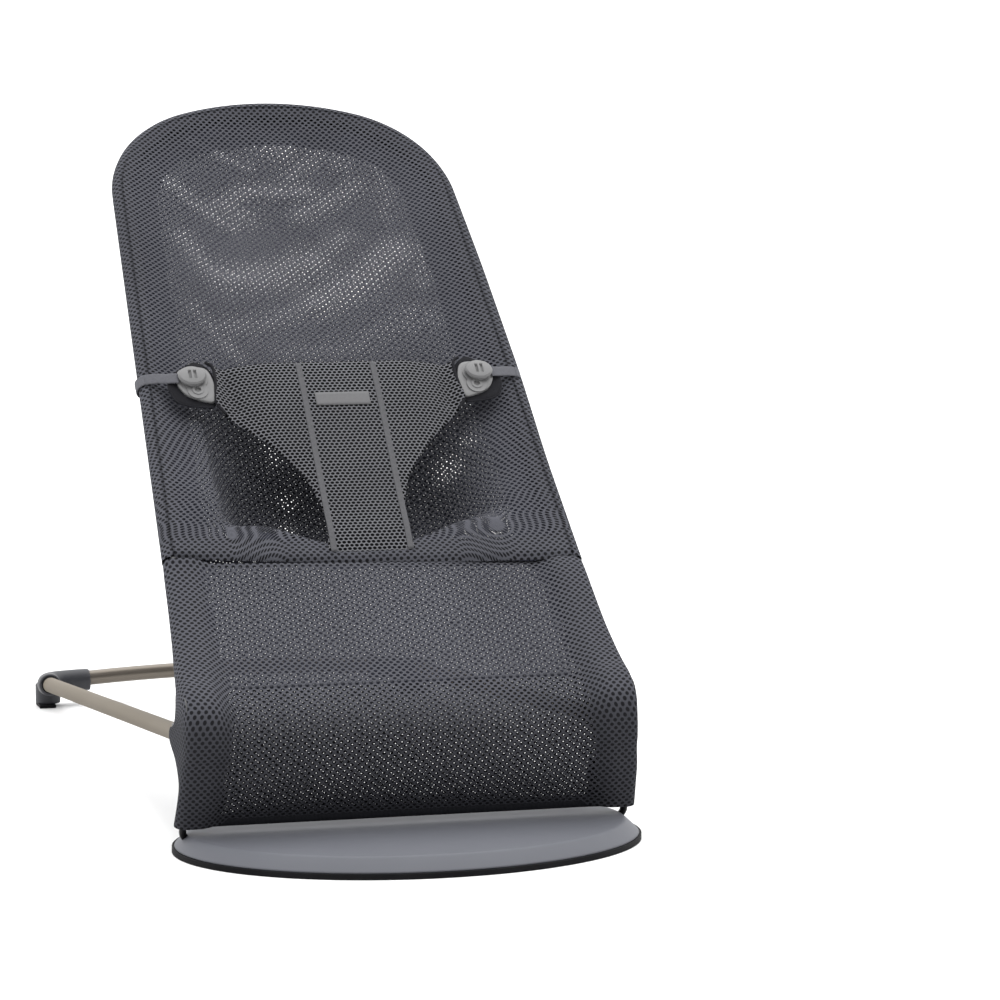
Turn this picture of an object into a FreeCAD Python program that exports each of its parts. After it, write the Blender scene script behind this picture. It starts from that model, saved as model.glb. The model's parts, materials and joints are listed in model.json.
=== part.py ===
import FreeCAD, Part
import Sketcher
import os
from math import cos, radians, sin, sqrt

# Baby bouncer seat. Millimetres, -Y front, +Y rear, +Z up, +X to the right as seen from the front.
# Origin: on the floor, at the middle of the bounding box. The seat, its sleeves and its harness are
# built in the seat frame: origin on the hinge axis, Y up the backrest, Z out of the backrest.

os.makedirs("parts", exist_ok=True)
doc = FreeCAD.newDocument("bouncer_seat")
V = FreeCAD.Vector
Placement = FreeCAD.Placement
Rotation = FreeCAD.Rotation
AXIS_X = V(1, 0, 0)
AXIS_Y = V(0, 1, 0)
AXIS_Z = V(0, 0, 1)

# ---------------------------------------------------------------- driving dimensions
DIMENSIONS = [
    ("half_length", 406, "half of the overall length, plate front to elbow rear"),
    ("pad_half_width", 194, "rubber pad, half width"),
    ("pad_half_depth", 126, "rubber pad, half depth"),
    ("pad_height", 4.5, "rubber pad thickness"),
    ("rim_step", 2, "plate set in from the pad's edge"),
    ("plate_top", 16, "height of the foot plate's top face"),
    ("rim_inset", 12, "run of the plate's sloping rim"),
    ("shell_wall", 3, "plate shell thickness"),
    ("core_thickness", 2, "plate's lower cover thickness"),
    ("wire_radius", 3, "spring wire radius"),
    ("wire_foot_y", -270, "spring wire, where it leaves the plate"),
    ("wire_foot_x", 186, "spring wire, half spacing at the plate"),
    ("wire_foot_z", 9.7, "spring wire, height inside the plate"),
    ("wire_knee_x", 182, "spring wire, half spacing at its forward bulge"),
    ("wire_knee_y", -289, "spring wire, forward bulge"),
    ("wire_knee_z", 60, "spring wire, height of the bulge"),
    ("wire_head_x", 177, "spring wire and leg, half spacing at the hinge"),
    ("wire_head_y", -290, "spring wire, upper end"),
    ("wire_head_z", 93, "spring wire, upper end"),
    ("pivot_y", -282, "hinge axis"),
    ("pivot_z", 112, "hinge axis height"),
    ("seat_angle", 42, "backrest slope in the play position, degrees"),
    ("housing_inner_x", 164, "hinge housing, inner face"),
    ("housing_outer_x", 186.6, "hinge housing, outer face"),
    ("cheek", 2.6, "hinge housing cheek thickness"),
    ("cheek_radius", 18, "hinge housing cheek radius"),
    ("pin_radius", 4, "hinge pin radius"),
    ("running_gap", 0.06, "radial clearance of the hinge bores"),
    ("hub_radius", 15, "recline hub radius"),
    ("boss_radius", 9, "recline hub boss radius"),
    ("bush_radius", 11.4, "bounce bush outer radius"),
    ("detent_radius", 1.6, "detent notch radius"),
    ("leg_radius", 7.3, "floor tube radius"),
    ("leg_wall", 1.5, "floor tube wall"),
    ("leg_front_y", -262, "floor leg, front end"),
    ("leg_rear_y", 375, "floor leg, rear end"),
    ("corner_x", 186, "rear corner of the floor frame"),
    ("corner_y", 395.6, "rear corner of the floor frame"),
    ("corner_z", 22, "height of the tube at the rear corner"),
    ("corner_radius", 20, "rear corner bend radius"),
    ("cross_rise", 8, "rise of the rear cross tube at its middle"),
    ("elbow_radius", 10.4, "elbow cover radius"),
    ("elbow_leg_run", 30, "elbow cover along the leg"),
    ("elbow_cross_run", 48, "elbow cover along the cross tube"),
    ("grip_height", 3, "rubber grip under the elbow"),
    ("rail_radius", 6, "seat rail radius"),
    ("rail_wall", 1, "seat rail wall"),
    ("rail_half_low", 178, "rail half spacing at the hinge axis"),
    ("rail_taper", 2.6, "rails lean in towards the head, degrees"),
    ("rail_start", 19.2, "rail, lower end from the hinge axis"),
    ("rail_end", 576, "rail, upper end from the hinge axis"),
    ("hoop_run", 14, "straight run at each end of the head hoop"),
    ("hoop_corner", 108, "head hoop corner radius"),
    ("hoop_apex", 700, "head hoop, apex from the hinge axis"),
    ("sleeve_radius", 8.5, "fabric sleeve outer radius"),
    ("sleeve_bore", 6.3, "fabric sleeve inner radius"),
    ("sleeve_start", 26, "fabric sleeve, lower end"),
    ("fabric", 3, "nominal thickness of the doubled mesh"),
    ("panel_half", 161.5, "leg panel half width"),
    ("panel_low", 10, "leg panel, lower edge"),
    ("crease", 157, "front edge of the seat, from the hinge axis"),
    ("pocket_front", 163, "seat pocket, front edge"),
    ("pocket_rear", 325, "seat pocket, rear edge"),
    ("pocket_depth", 66, "seat pocket depth"),
    ("back_low", 328, "back panel, lower edge"),
    ("back_dish", 15, "back panel sag"),
    ("harness_tilt", 3.2, "harness rises from the seat plane, degrees"),
    ("harness_thickness", 3.5, "spacer mesh thickness"),
    ("harness_base", 162, "harness, lower end"),
    ("harness_lift", 3, "harness, lower end above the seat plane"),
    ("buckle_x", 127.5, "buckle half spacing"),
    ("buckle_run", 186, "buckle, up the harness"),
    ("button_half_width", 11, "harness button half width"),
    ("button_half_height", 10, "harness button half height"),
    ("button_travel", 7, "harness button travel in its keyhole"),
    ("stem_radius", 2.4, "harness button stem radius"),
    ("strap_width", 15, "side strap width"),
    ("strap_thickness", 1.6, "side strap thickness"),
]
sheet = doc.addObject("Spreadsheet::Sheet", "Dims")
for row, (alias, value, note) in enumerate(DIMENSIONS, start=1):
    sheet.set(f"A{row}", note)
    sheet.set(f"B{row}", str(value))
    sheet.setAlias(f"B{row}", alias)
doc.recompute()


def dim(alias):
    """Value of one driving dimension."""
    return float(sheet.get(alias))


# ---------------------------------------------------------------- frames
PIVOT = V(0, dim("pivot_y"), dim("pivot_z"))
SEAT = Placement(PIVOT, Rotation(AXIS_X, dim("seat_angle")))
RAIL = SEAT * Placement(V(dim("rail_half_low"), 0, 0), Rotation(AXIS_Z, dim("rail_taper")))
RAIL_AXIS = RAIL * Placement(V(0, 0, 0), Rotation(AXIS_X, -90))
HARNESS = SEAT * Placement(V(0, dim("harness_base"), dim("harness_lift")),
                           Rotation(AXIS_X, dim("harness_tilt")))
ALONG_X = Rotation(AXIS_Y, 90)
HOME = Placement()

nodes = []


# ---------------------------------------------------------------- modelling helpers
def node(obj, label, placement=None):
    """Name an object as one sub-part and put it in place."""
    obj.Label = label
    if placement is not None:
        obj.Placement = placement
    nodes.append(obj)
    return obj


def bind(obj, **sizes):
    """Bind an object's properties to formulas on the sheet."""
    for prop, formula in sizes.items():
        obj.setExpression(prop, formula)
    return obj


def cylinder(radius, height, placement=HOME):
    obj = doc.addObject("Part::Cylinder", "Cylinder")
    obj.Placement = placement
    return bind(obj, Radius=radius, Height=height)


def box(length, width, height, placement=HOME):
    obj = doc.addObject("Part::Box", "Box")
    obj.Placement = placement
    return bind(obj, Length=length, Width=width, Height=height)


def cut(base, tool):
    obj = doc.addObject("Part::Cut", "Cut")
    obj.Base = base
    obj.Tool = tool
    return obj


def fuse(parts):
    obj = doc.addObject("Part::MultiFuse", "Fusion")
    obj.Shapes = parts
    return obj


def group(parts):
    """Separate solids that share one node."""
    obj = doc.addObject("Part::Compound", "Group")
    obj.Links = parts
    return obj


def tube(outer, inner, height, placement=HOME):
    """A straight tube along its own Z; the bore runs 1 mm past both ends."""
    bore_place = Placement(V(0, 0, -1), Rotation())
    result = cut(cylinder(outer, height), cylinder(inner, f"{height} + 2", bore_place))
    result.Placement = placement
    return result


def mirror(source, label):
    """The other side's copy of a sub-part."""
    obj = doc.addObject("Part::Mirroring", "Mirror")
    obj.Source = source
    obj.Normal = AXIS_X
    return node(obj, label)


def both_sides(obj, name, placement=None):
    """One piece on the +X side and its mirror image on the -X side."""
    node(obj, f"{name}_right", placement)
    mirror(obj, f"{name}_left")


def new_body():
    return doc.addObject("PartDesign::Body", "Body")


def new_sketch(body, plane, offset=None):
    """A sketch on one of the body's own origin planes, offset along the plane's normal by a formula."""
    sketch = body.newObject("Sketcher::SketchObject", "Sketch")
    origin = [item for item in body.Origin.OriginFeatures if item.Role == plane][0]
    sketch.AttachmentSupport = [(origin, "")]
    sketch.MapMode = "FlatFace"
    if offset is not None:
        sketch.setExpression(".AttachmentOffset.Base.z", offset)
    return sketch


def add_circle(sketch, x, y, radius):
    """A circle whose radius is bound to a formula."""
    index = sketch.addGeometry(Part.Circle(V(x, y, 0), AXIS_Z, 1))
    number = sketch.addConstraint(Sketcher.Constraint("Radius", index, 1))
    sketch.setExpression(f"Constraints[{number}]", radius)


def add_ellipse(sketch, centre_y, half_width, half_depth):
    sketch.addGeometry(Part.Ellipse(V(0, centre_y, 0), half_width, half_depth))


def add_polygon(sketch, points):
    for start, end in zip(points, points[1:] + points[:1]):
        sketch.addGeometry(Part.LineSegment(V(*start, 0), V(*end, 0)))


def pad(body, sketch, length, reverse=False):
    feature = body.newObject("PartDesign::Pad", "Pad")
    feature.Profile = sketch
    feature.Reversed = reverse
    return bind(feature, Length=length)


def pocket(body, sketch, length, reverse=False):
    feature = body.newObject("PartDesign::Pocket", "Pocket")
    feature.Profile = sketch
    feature.Reversed = reverse
    return bind(feature, Length=length)


def loft(body, kind, first, last):
    feature = body.newObject(kind, "Loft")
    feature.Profile = first
    feature.Sections = [last]
    feature.Ruled = True
    return feature


def rounded_path(points, radii):
    """Straight runs joined by tangent arcs, one radius per inner point."""
    edges = []
    start = points[0]
    for before, corner, after, radius in zip(points, points[1:], points[2:], radii):
        arrive = (corner - before).normalize()
        leave = (after - corner).normalize()
        half_turn = arrive.getAngle(leave) / 2
        reach = radius * sin(half_turn) / cos(half_turn)
        first = corner - arrive * reach
        last = corner + leave * reach
        inward = (leave - arrive).normalize()
        middle = corner + inward * (radius / cos(half_turn) - radius)
        edges.append(Part.LineSegment(start, first).toShape())
        edges.append(Part.Arc(first, middle, last).toShape())
        start = last
    edges.append(Part.LineSegment(start, points[-1]).toShape())
    return edges


def swept(edges, radius):
    """A round bar along a path that bends out of one plane."""
    spine = Part.Wire(edges)
    tangent = edges[0].tangentAt(edges[0].FirstParameter)
    section = Part.Wire(Part.makeCircle(radius, edges[0].Vertexes[0].Point, tangent))
    return spine.makePipeShell([section], True, False)


def shape_node(shape, label, placement=HOME):
    """A sub-part whose shape comes straight from Part's own functions."""
    obj = doc.addObject("Part::Feature", "Swept")
    obj.Shape = shape
    return node(obj, label, placement)


def at_x(x, y, z):
    """A place whose Z axis points along +X."""
    return Placement(V(x, y, z), ALONG_X)


def at(x, y, z):
    return Placement(V(x, y, z), Rotation())


# ---------------------------------------------------------------- foot plate
def foot_plate():
    centre_y = dim("pivot_y") + 2
    half_width = dim("pad_half_width")
    half_depth = dim("pad_half_depth")
    step = dim("rim_step")
    inset = dim("rim_inset")
    wall = dim("shell_wall")

    body = new_body()
    outline = new_sketch(body, "XY_Plane")
    add_ellipse(outline, centre_y, half_width, half_depth)
    pad(body, outline, "Dims.pad_height")
    node(body, "non_slip_pad")

    cover_edge = step + inset
    body = new_body()
    outline = new_sketch(body, "XY_Plane", "Dims.pad_height")
    add_ellipse(outline, centre_y, half_width - cover_edge, half_depth - cover_edge)
    for x, y in clamp_screw_places():
        add_circle(outline, x, y, "1.8")
        add_circle(outline, -x, y, "1.8")
    pad(body, outline, "Dims.core_thickness")
    node(body, "base_plate_bottom")

    body = new_body()
    rings = []
    for height, shrink in (("Dims.pad_height", step), ("Dims.plate_top", step + inset)):
        rings.append(new_sketch(body, "XY_Plane", height))
        add_ellipse(rings[-1], centre_y, half_width - shrink, half_depth - shrink)
    loft(body, "PartDesign::AdditiveLoft", *rings)
    rings = []
    inner_top = "Dims.plate_top - Dims.shell_wall"
    for height, shrink in (("Dims.pad_height - 0.01", step + wall), (inner_top, inset + wall - 0.5)):
        rings.append(new_sketch(body, "XY_Plane", height))
        add_ellipse(rings[-1], centre_y, half_width - shrink, half_depth - shrink)
    loft(body, "PartDesign::SubtractiveLoft", *rings)
    slot_half = dim("wire_radius") + 1.6
    slot_in = dim("wire_foot_x") - 10
    slot_out = dim("wire_foot_x") + slot_half
    slot_y = dim("wire_foot_y")
    slots = new_sketch(body, "XY_Plane", "Dims.plate_top + 1")
    for side in (-1, 1):
        corners = [(slot_in, slot_y - slot_half), (slot_out, slot_y - slot_half),
                   (slot_out, slot_y + slot_half), (slot_in, slot_y + slot_half)]
        add_polygon(slots, [(side * x, y) for x, y in corners])
    pocket(body, slots, "Dims.plate_top - Dims.pad_height + 1 - Dims.core_thickness")
    node(body, "base_plate")


def clamp_screw_places():
    """Centres of the screws on the +X side that hold the wire clamp to the lower cover."""
    middle_y = dim("wire_foot_y")
    return [(147, middle_y - 5.6), (165, middle_y + 5.6)]


def wire_clamps():
    low = dim("pad_height") + dim("core_thickness")
    foot_y = dim("wire_foot_y")
    block = box("32", "16", "Dims.plate_top - Dims.shell_wall - 6.7", at(140, foot_y - 8, low))
    bore = cylinder("Dims.wire_radius + 0.05", "34", at_x(139, foot_y, dim("wire_foot_z")))
    holes = [cylinder("1.55", "8", at(x, y, low - 1)) for x, y in clamp_screw_places()]
    both_sides(cut(block, fuse([bore] + holes)), "wire_clamp")
    shanks = []
    for x, y in clamp_screw_places():
        for side in (-1, 1):
            shanks.append(cylinder("1.5", "7.4", at(side * x, y, dim("pad_height") + 0.1)))
    node(group(shanks), "clamp_screws")


# ---------------------------------------------------------------- spring wires
def wire_points():
    foot_x = dim("wire_foot_x")
    foot_y = dim("wire_foot_y")
    return [V(134, foot_y, dim("wire_foot_z")), V(foot_x, foot_y, dim("wire_foot_z")),
            V(dim("wire_knee_x"), dim("wire_knee_y"), dim("wire_knee_z")),
            V(dim("wire_head_x"), dim("wire_head_y"), dim("wire_head_z"))]


WIRE_BENDS = (9, 110)


def spring_wires():
    wire = shape_node(swept(rounded_path(wire_points(), WIRE_BENDS), dim("wire_radius")), "spring_wire_right")
    mirror(wire, "spring_wire_left")


# ---------------------------------------------------------------- floor frame
def leg_points():
    """Leg centre line: its front end in the hinge housing and the rear corner."""
    return V(dim("wire_head_x"), dim("leg_front_y"), 92), V(dim("corner_x"), dim("corner_y"), dim("corner_z"))


def leg_placement():
    front, corner = leg_points()
    return Placement(front, Rotation(AXIS_Z, corner - front))


def cross_tube_point(x):
    """A point on the rear cross tube's shallow arch, which starts at the corners."""
    rise = dim("cross_rise")
    span = dim("corner_x")
    radius = (span ** 2 + rise ** 2) / (2 * rise)
    drop = radius - sqrt(radius ** 2 - x ** 2)
    return V(x, dim("corner_y"), dim("corner_z") + rise - drop)


def cross_tube_edges(half):
    return [Part.Arc(cross_tube_point(-half), cross_tube_point(0), cross_tube_point(half)).toShape()]


def floor_frame():
    front, corner = leg_points()
    slope = (corner - front).normalize()
    sheet_run = "Dims.leg_rear_y - Dims.leg_front_y"
    leg = tube("Dims.leg_radius", "Dims.leg_radius - Dims.leg_wall", sheet_run)
    bolt = fastener_places()[1]
    bolt_bore = cylinder("2.1", "30", leg_placement().inverse() * at_x(160, bolt.y, bolt.z))
    leg = cut(leg, bolt_bore)
    both_sides(leg, "floor_leg", leg_placement())

    half = dim("corner_x") - dim("corner_radius")
    outer = swept(cross_tube_edges(half), dim("leg_radius"))
    inner = swept(cross_tube_edges(half), dim("leg_radius") - dim("leg_wall"))
    shape_node(outer.cut(inner), "rear_cross_tube")

    leg_end = corner - slope * dim("elbow_leg_run")
    cross_end = cross_tube_point(corner.x - dim("elbow_cross_run"))
    path = rounded_path([leg_end, corner, cross_end], [dim("corner_radius")])
    cover = swept(path, dim("elbow_radius"))
    foot_size = 2 * dim("elbow_radius") - 1
    foot = Part.makeBox(foot_size, 30, dim("corner_z") - dim("grip_height"),
                        V(corner.x - foot_size / 2, corner.y - 20, dim("grip_height")))
    foot = foot.makeFillet(6, [edge for edge in foot.Edges if abs(edge.tangentAt(0).z) > 0.9])
    bore = swept(path, dim("leg_radius") + 0.15)
    elbow = shape_node(cover.fuse(foot).cut(bore), "elbow_foot_right")
    mirror(elbow, "elbow_foot_left")
    grip = box("Dims.elbow_radius * 2 - 5", "26", "Dims.grip_height",
               at(corner.x - dim("elbow_radius") + 2.5, corner.y - 18, 0))
    both_sides(grip, "foot_grip")


# ---------------------------------------------------------------- hinge housings
def fastener_places():
    """Centres of the two cross fasteners of each housing."""
    front, corner = leg_points()
    leg_y = dim("leg_front_y") + 12
    leg_z = front.z + (corner.z - front.z) * (leg_y - front.y) / (corner.y - front.y)
    return [V(0, -275, 87.5), V(0, leg_y, leg_z)]


def housing_half(x_low, width, cheek_x):
    """One half of the clamshell: a block for the wire and leg, and a cheek beside the hub."""
    blocks = [box(width, "38", "12", at(x_low, -302, 82)),
              box(width, "26", "17.5", at(x_low, -264, 82)),
              box("Dims.cheek", "36", "24", at(cheek_x, -300, 90)),
              cylinder("Dims.cheek_radius", "Dims.cheek", at_x(cheek_x, PIVOT.y, PIVOT.z))]
    wire_head = wire_points()
    wire_run = wire_head[3] - wire_head[2]
    wire_place = Placement(wire_head[2], Rotation(AXIS_Z, wire_run))
    bores = [cylinder("Dims.pin_radius + Dims.running_gap", "40", at_x(155, PIVOT.y, PIVOT.z)),
             cylinder("Dims.leg_radius + 0.05", "60", leg_placement()),
             cylinder("Dims.wire_radius + 0.05", str(wire_run.Length + 0.1), wire_place)]
    bores += [cylinder("2.1", "40", at_x(155, place.y, place.z)) for place in fastener_places()]
    return cut(fuse(blocks), fuse(bores))


def hinge_housings():
    inner_x = dim("housing_inner_x")
    outer_x = dim("housing_outer_x")
    split = dim("wire_head_x")
    inner = housing_half(inner_x, "Dims.wire_head_x - Dims.housing_inner_x", inner_x)
    both_sides(inner, "hinge_housing_inner")
    outer = housing_half(split, "Dims.housing_outer_x - Dims.wire_head_x", outer_x - dim("cheek"))
    both_sides(outer, "hinge_housing_outer")

    width = "Dims.housing_outer_x - Dims.housing_inner_x"
    both_sides(cylinder("Dims.pin_radius", width, at_x(inner_x, PIVOT.y, PIVOT.z)), "hinge_pin")
    washer = tube("10", "Dims.pin_radius + 0.2", "0.8", at_x(inner_x + dim("cheek") + 0.05, PIVOT.y, PIVOT.z))
    both_sides(washer, "wave_washer", washer.Placement)
    both_sides(box("5", "26", "0.8", at(inner_x + 4, -298, 94.2)), "detent_spring")
    shanks = []
    for place in fastener_places():
        for side in (0, -(inner_x + outer_x)):
            shanks.append(cylinder("2", width, at_x(inner_x + side, place.y, place.z)))
    node(group(shanks), "housing_fasteners")


# ---------------------------------------------------------------- recline hub
def recline_hubs():
    disc_x = dim("housing_inner_x") + dim("cheek") + 0.9
    disc_width = 6
    boss_end = dim("housing_outer_x") - dim("cheek") - 0.3
    body = new_body()
    disc = new_sketch(body, "XY_Plane")
    add_circle(disc, 0, 0, "Dims.hub_radius")
    pad(body, disc, str(disc_width))
    boss = new_sketch(body, "XY_Plane")
    add_circle(boss, 0, 0, "Dims.boss_radius")
    pad(body, boss, str(boss_end - disc_x))
    bore = new_sketch(body, "XY_Plane")
    add_circle(bore, 0, 0, "Dims.pin_radius + Dims.running_gap")
    pocket(body, bore, str(boss_end - disc_x), reverse=True)
    notches = new_sketch(body, "XY_Plane")
    for angle in (90, 100.8, 105.4, 132):
        place = Rotation(AXIS_Z, angle - 180).multVec(V(dim("hub_radius") + 0.6, 0, 0))
        add_circle(notches, -place.y, place.x, "Dims.detent_radius")
    pocket(body, notches, str(disc_width), reverse=True)
    both_sides(body, "recline_hub", at_x(disc_x, PIVOT.y, PIVOT.z))
    bush = tube("Dims.bush_radius", "Dims.boss_radius + 0.03", "9.2", HOME)
    both_sides(bush, "bounce_bush", at_x(disc_x + disc_width + 0.3, PIVOT.y, PIVOT.z))


# ---------------------------------------------------------------- seat frame
def rail_ends():
    """The seat rail's foot: an eye round the bounce bush, an arm and a spigot inside the rail."""
    eye_x = dim("housing_inner_x") + dim("cheek") + 7.4
    width = 9.4
    eye = cylinder("Dims.hub_radius", str(width), at_x(eye_x, 0, 0))
    arm = box(str(width), "9", "12", at(eye_x, 10, -6))
    local_rail = SEAT.inverse() * RAIL_AXIS
    collar = cylinder("Dims.rail_radius", "2.8", local_rail * at(0, 0, 16.3))
    spigot = cylinder("Dims.rail_radius - Dims.rail_wall - 0.05", "38", local_rail * at(0, 0, 16.5))
    bore = cylinder("Dims.bush_radius + 0.06", str(width + 2), at_x(eye_x - 1, 0, 0))
    both_sides(cut(fuse([eye, arm, collar, spigot]), bore), "rail_end", SEAT)


def hoop_edges():
    """Head hoop centre line in the seat frame, from the left rail's top round to the right rail's."""
    taper = radians(dim("rail_taper"))
    lean = V(-sin(taper), cos(taper), 0)
    foot = V(dim("rail_half_low"), 0, 0) + lean * dim("rail_end")
    shoulder = foot + lean * dim("hoop_run")
    small = dim("hoop_corner")
    apex = dim("hoop_apex")
    centre = shoulder - V(cos(taper), sin(taper), 0) * small
    rise = apex - centre.y
    large = (centre.x ** 2 + rise ** 2 - small ** 2) / (2 * (rise - small))
    top_centre = V(0, apex - large, 0)
    towards = (centre - top_centre).normalize()
    meet = top_centre + towards * large
    middle = centre + (towards + V(cos(taper), sin(taper), 0)).normalize() * small

    def flip(point):
        return V(-point.x, point.y, 0)

    return [Part.LineSegment(flip(foot), flip(shoulder)).toShape(),
            Part.Arc(flip(shoulder), flip(middle), flip(meet)).toShape(),
            Part.Arc(flip(meet), V(0, apex, 0), meet).toShape(),
            Part.Arc(meet, middle, shoulder).toShape(),
            Part.LineSegment(shoulder, foot).toShape()]


def seat_frame():
    rail_length = "Dims.rail_end - Dims.rail_start"
    rail = tube("Dims.rail_radius", "Dims.rail_radius - Dims.rail_wall", rail_length)
    both_sides(rail, "seat_rail", RAIL_AXIS * at(0, 0, dim("rail_start")))
    outer = swept(hoop_edges(), dim("rail_radius"))
    inner = swept(hoop_edges(), dim("rail_radius") - dim("rail_wall"))
    shape_node(outer.cut(inner), "head_hoop", SEAT)
    spigot = cylinder("Dims.rail_radius - Dims.rail_wall - 0.05", "Dims.hoop_run * 2",
                      RAIL_AXIS * at(0, 0, dim("rail_end") - dim("hoop_run")))
    both_sides(spigot, "rail_spigot")


# ---------------------------------------------------------------- fabric
def sleeves():
    sleeve_length = "Dims.rail_end - Dims.sleeve_start"
    sleeve = tube("Dims.sleeve_radius", "Dims.sleeve_bore", sleeve_length)
    both_sides(sleeve, "rail_sleeve", RAIL_AXIS * at(0, 0, dim("sleeve_start")))
    outer = swept(hoop_edges(), dim("sleeve_radius"))
    inner = swept(hoop_edges(), dim("sleeve_bore"))
    shape_node(outer.cut(inner), "hoop_sleeve", SEAT)

    points = wire_points()[1:]
    first_run = (points[1] - points[0]).normalize()
    last_run = (points[1] - points[2]).normalize()
    points[0] = points[0] + first_run * 14
    points[2] = points[2] + last_run * 14
    path = rounded_path(points, WIRE_BENDS[1:])
    shape = swept(path, dim("sleeve_radius") - 0.5).cut(swept(path, dim("sleeve_bore") - 0.3))
    mirror(shape_node(shape, "wire_sleeve_right"), "wire_sleeve_left")


def leg_panels():
    """The leg panel and its lining above the hinge, and the panel from the hinge down to the hem."""
    panel = box("Dims.panel_half * 2", "Dims.crease - Dims.panel_low", "Dims.fabric",
                SEAT * at(-dim("panel_half"), dim("panel_low"), -dim("fabric") / 2))
    node(panel, "leg_panel")
    lining = box("Dims.panel_half * 2 - 8", "Dims.crease - 20", "1.6",
                 SEAT * at(4 - dim("panel_half"), 20, -4))
    node(lining, "panel_lining")
    node(cylinder("2.2", "Dims.panel_half * 2 - 4", SEAT * at_x(2 - dim("panel_half"), dim("crease") + 3, 0)),
         "front_piping")

    half = dim("panel_half") + 1.5
    knee_y = dim("wire_knee_y")
    front = [(-290.5, 96), (-292, 80), (knee_y + 1, 60), (-280, 40), (-273, 30.5)]
    rear = [(y + dim("fabric"), z) for y, z in reversed(front)]
    body = new_body()
    profile = new_sketch(body, "YZ_Plane", f"-{half}")
    add_polygon(profile, front + rear)
    pad(body, profile, str(2 * half))
    node(body, "hem_panel")
    node(box(str(2 * half), "5", "9.5", at(-half, -273.5, 20.5)), "hem_band")


def back_panel():
    """The backrest mesh: the hoop's outline cut from a trough that sags between the rails."""
    gap = dim("sleeve_radius") + 0.7
    low = dim("back_low")
    rail_low = dim("rail_half_low") - low * sin(radians(dim("rail_taper")))
    ring = hoop_edges()
    foot = ring[-1].Vertexes[-1].Point
    corners = [foot, V(rail_low, low, 0), V(-rail_low, low, 0), V(-foot.x, foot.y, 0)]
    sides = [Part.LineSegment(start, end).toShape() for start, end in zip(corners, corners[1:])]
    outline = Part.Wire(ring + sides).makeOffset2D(-gap)
    prism = Part.Face(outline).extrude(V(0, 0, 100))
    prism.translate(V(0, 0, -50))
    chord = rail_low - gap
    curve = (chord ** 2 + dim("back_dish") ** 2) / (2 * dim("back_dish"))
    centre = V(0, 200, curve - dim("back_dish"))
    trough = Part.makeCylinder(curve, 700, centre, AXIS_Y)
    trough = trough.cut(Part.makeCylinder(curve - dim("fabric"), 700, centre, AXIS_Y))
    shape_node(prism.common(trough), "back_panel", SEAT)


def seat_pocket():
    """The bucket between the legs and the backrest: a tapered tub open at the top."""
    front = dim("pocket_front")
    rear = dim("pocket_rear")
    wall = dim("fabric")
    body = new_body()

    def ring(depth, front_half, rear_half, low, high):
        sketch = new_sketch(body, "XY_Plane", depth)
        add_polygon(sketch, [(-front_half, low), (front_half, low), (rear_half, high), (-rear_half, high)])
        return sketch

    loft(body, "PartDesign::AdditiveLoft", ring("0", 160, 153, front, rear),
         ring("-Dims.pocket_depth", 112, 106, front + 22, rear - 55))
    loft(body, "PartDesign::SubtractiveLoft",
         ring("0.01", 160 - wall, 153 - wall, front + wall, rear - wall),
         ring("-Dims.pocket_depth + Dims.fabric", 114 - wall, 108 - wall, front + 21 + wall, rear - 52 - wall))
    node(body, "seat_pocket", SEAT)


# ---------------------------------------------------------------- harness
def harness():
    """The T-shaped front panel with its sewn ribbons and blank label."""
    side = [(38.5, 0), (35, 22), (35, 43), (45, 76), (56, 93), (74, 116), (98, 140)]
    shoulder = [(112, 152), (137, 171), (137, 194), (126, 197), (100, 197)]
    body = new_body()
    outline = new_sketch(body, "XY_Plane")
    for sign in (1, -1):
        flank = Part.BSplineCurve()
        flank.interpolate([V(sign * x, y, 0) for x, y in side])
        outline.addGeometry(flank)
        points = [side[-1]] + shoulder
        for start, end in zip(points, points[1:]):
            outline.addGeometry(Part.LineSegment(V(sign * start[0], start[1], 0), V(sign * end[0], end[1], 0)))
    outline.addGeometry(Part.LineSegment(V(-38.5, 0, 0), V(38.5, 0, 0)))
    outline.addGeometry(Part.LineSegment(V(-100, 197, 0), V(100, 197, 0)))
    pad(body, outline, "Dims.harness_thickness")
    node(body, "harness_panel", HARNESS)

    top = dim("harness_thickness") + 0.1
    ribbon = box("5", "192", "0.8", HARNESS * at(30.5, 2, top))
    both_sides(ribbon, "harness_ribbon")
    node(box("48", "15", "0.8", HARNESS * at(-24, 150, top + 0.9)), "harness_label")


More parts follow.
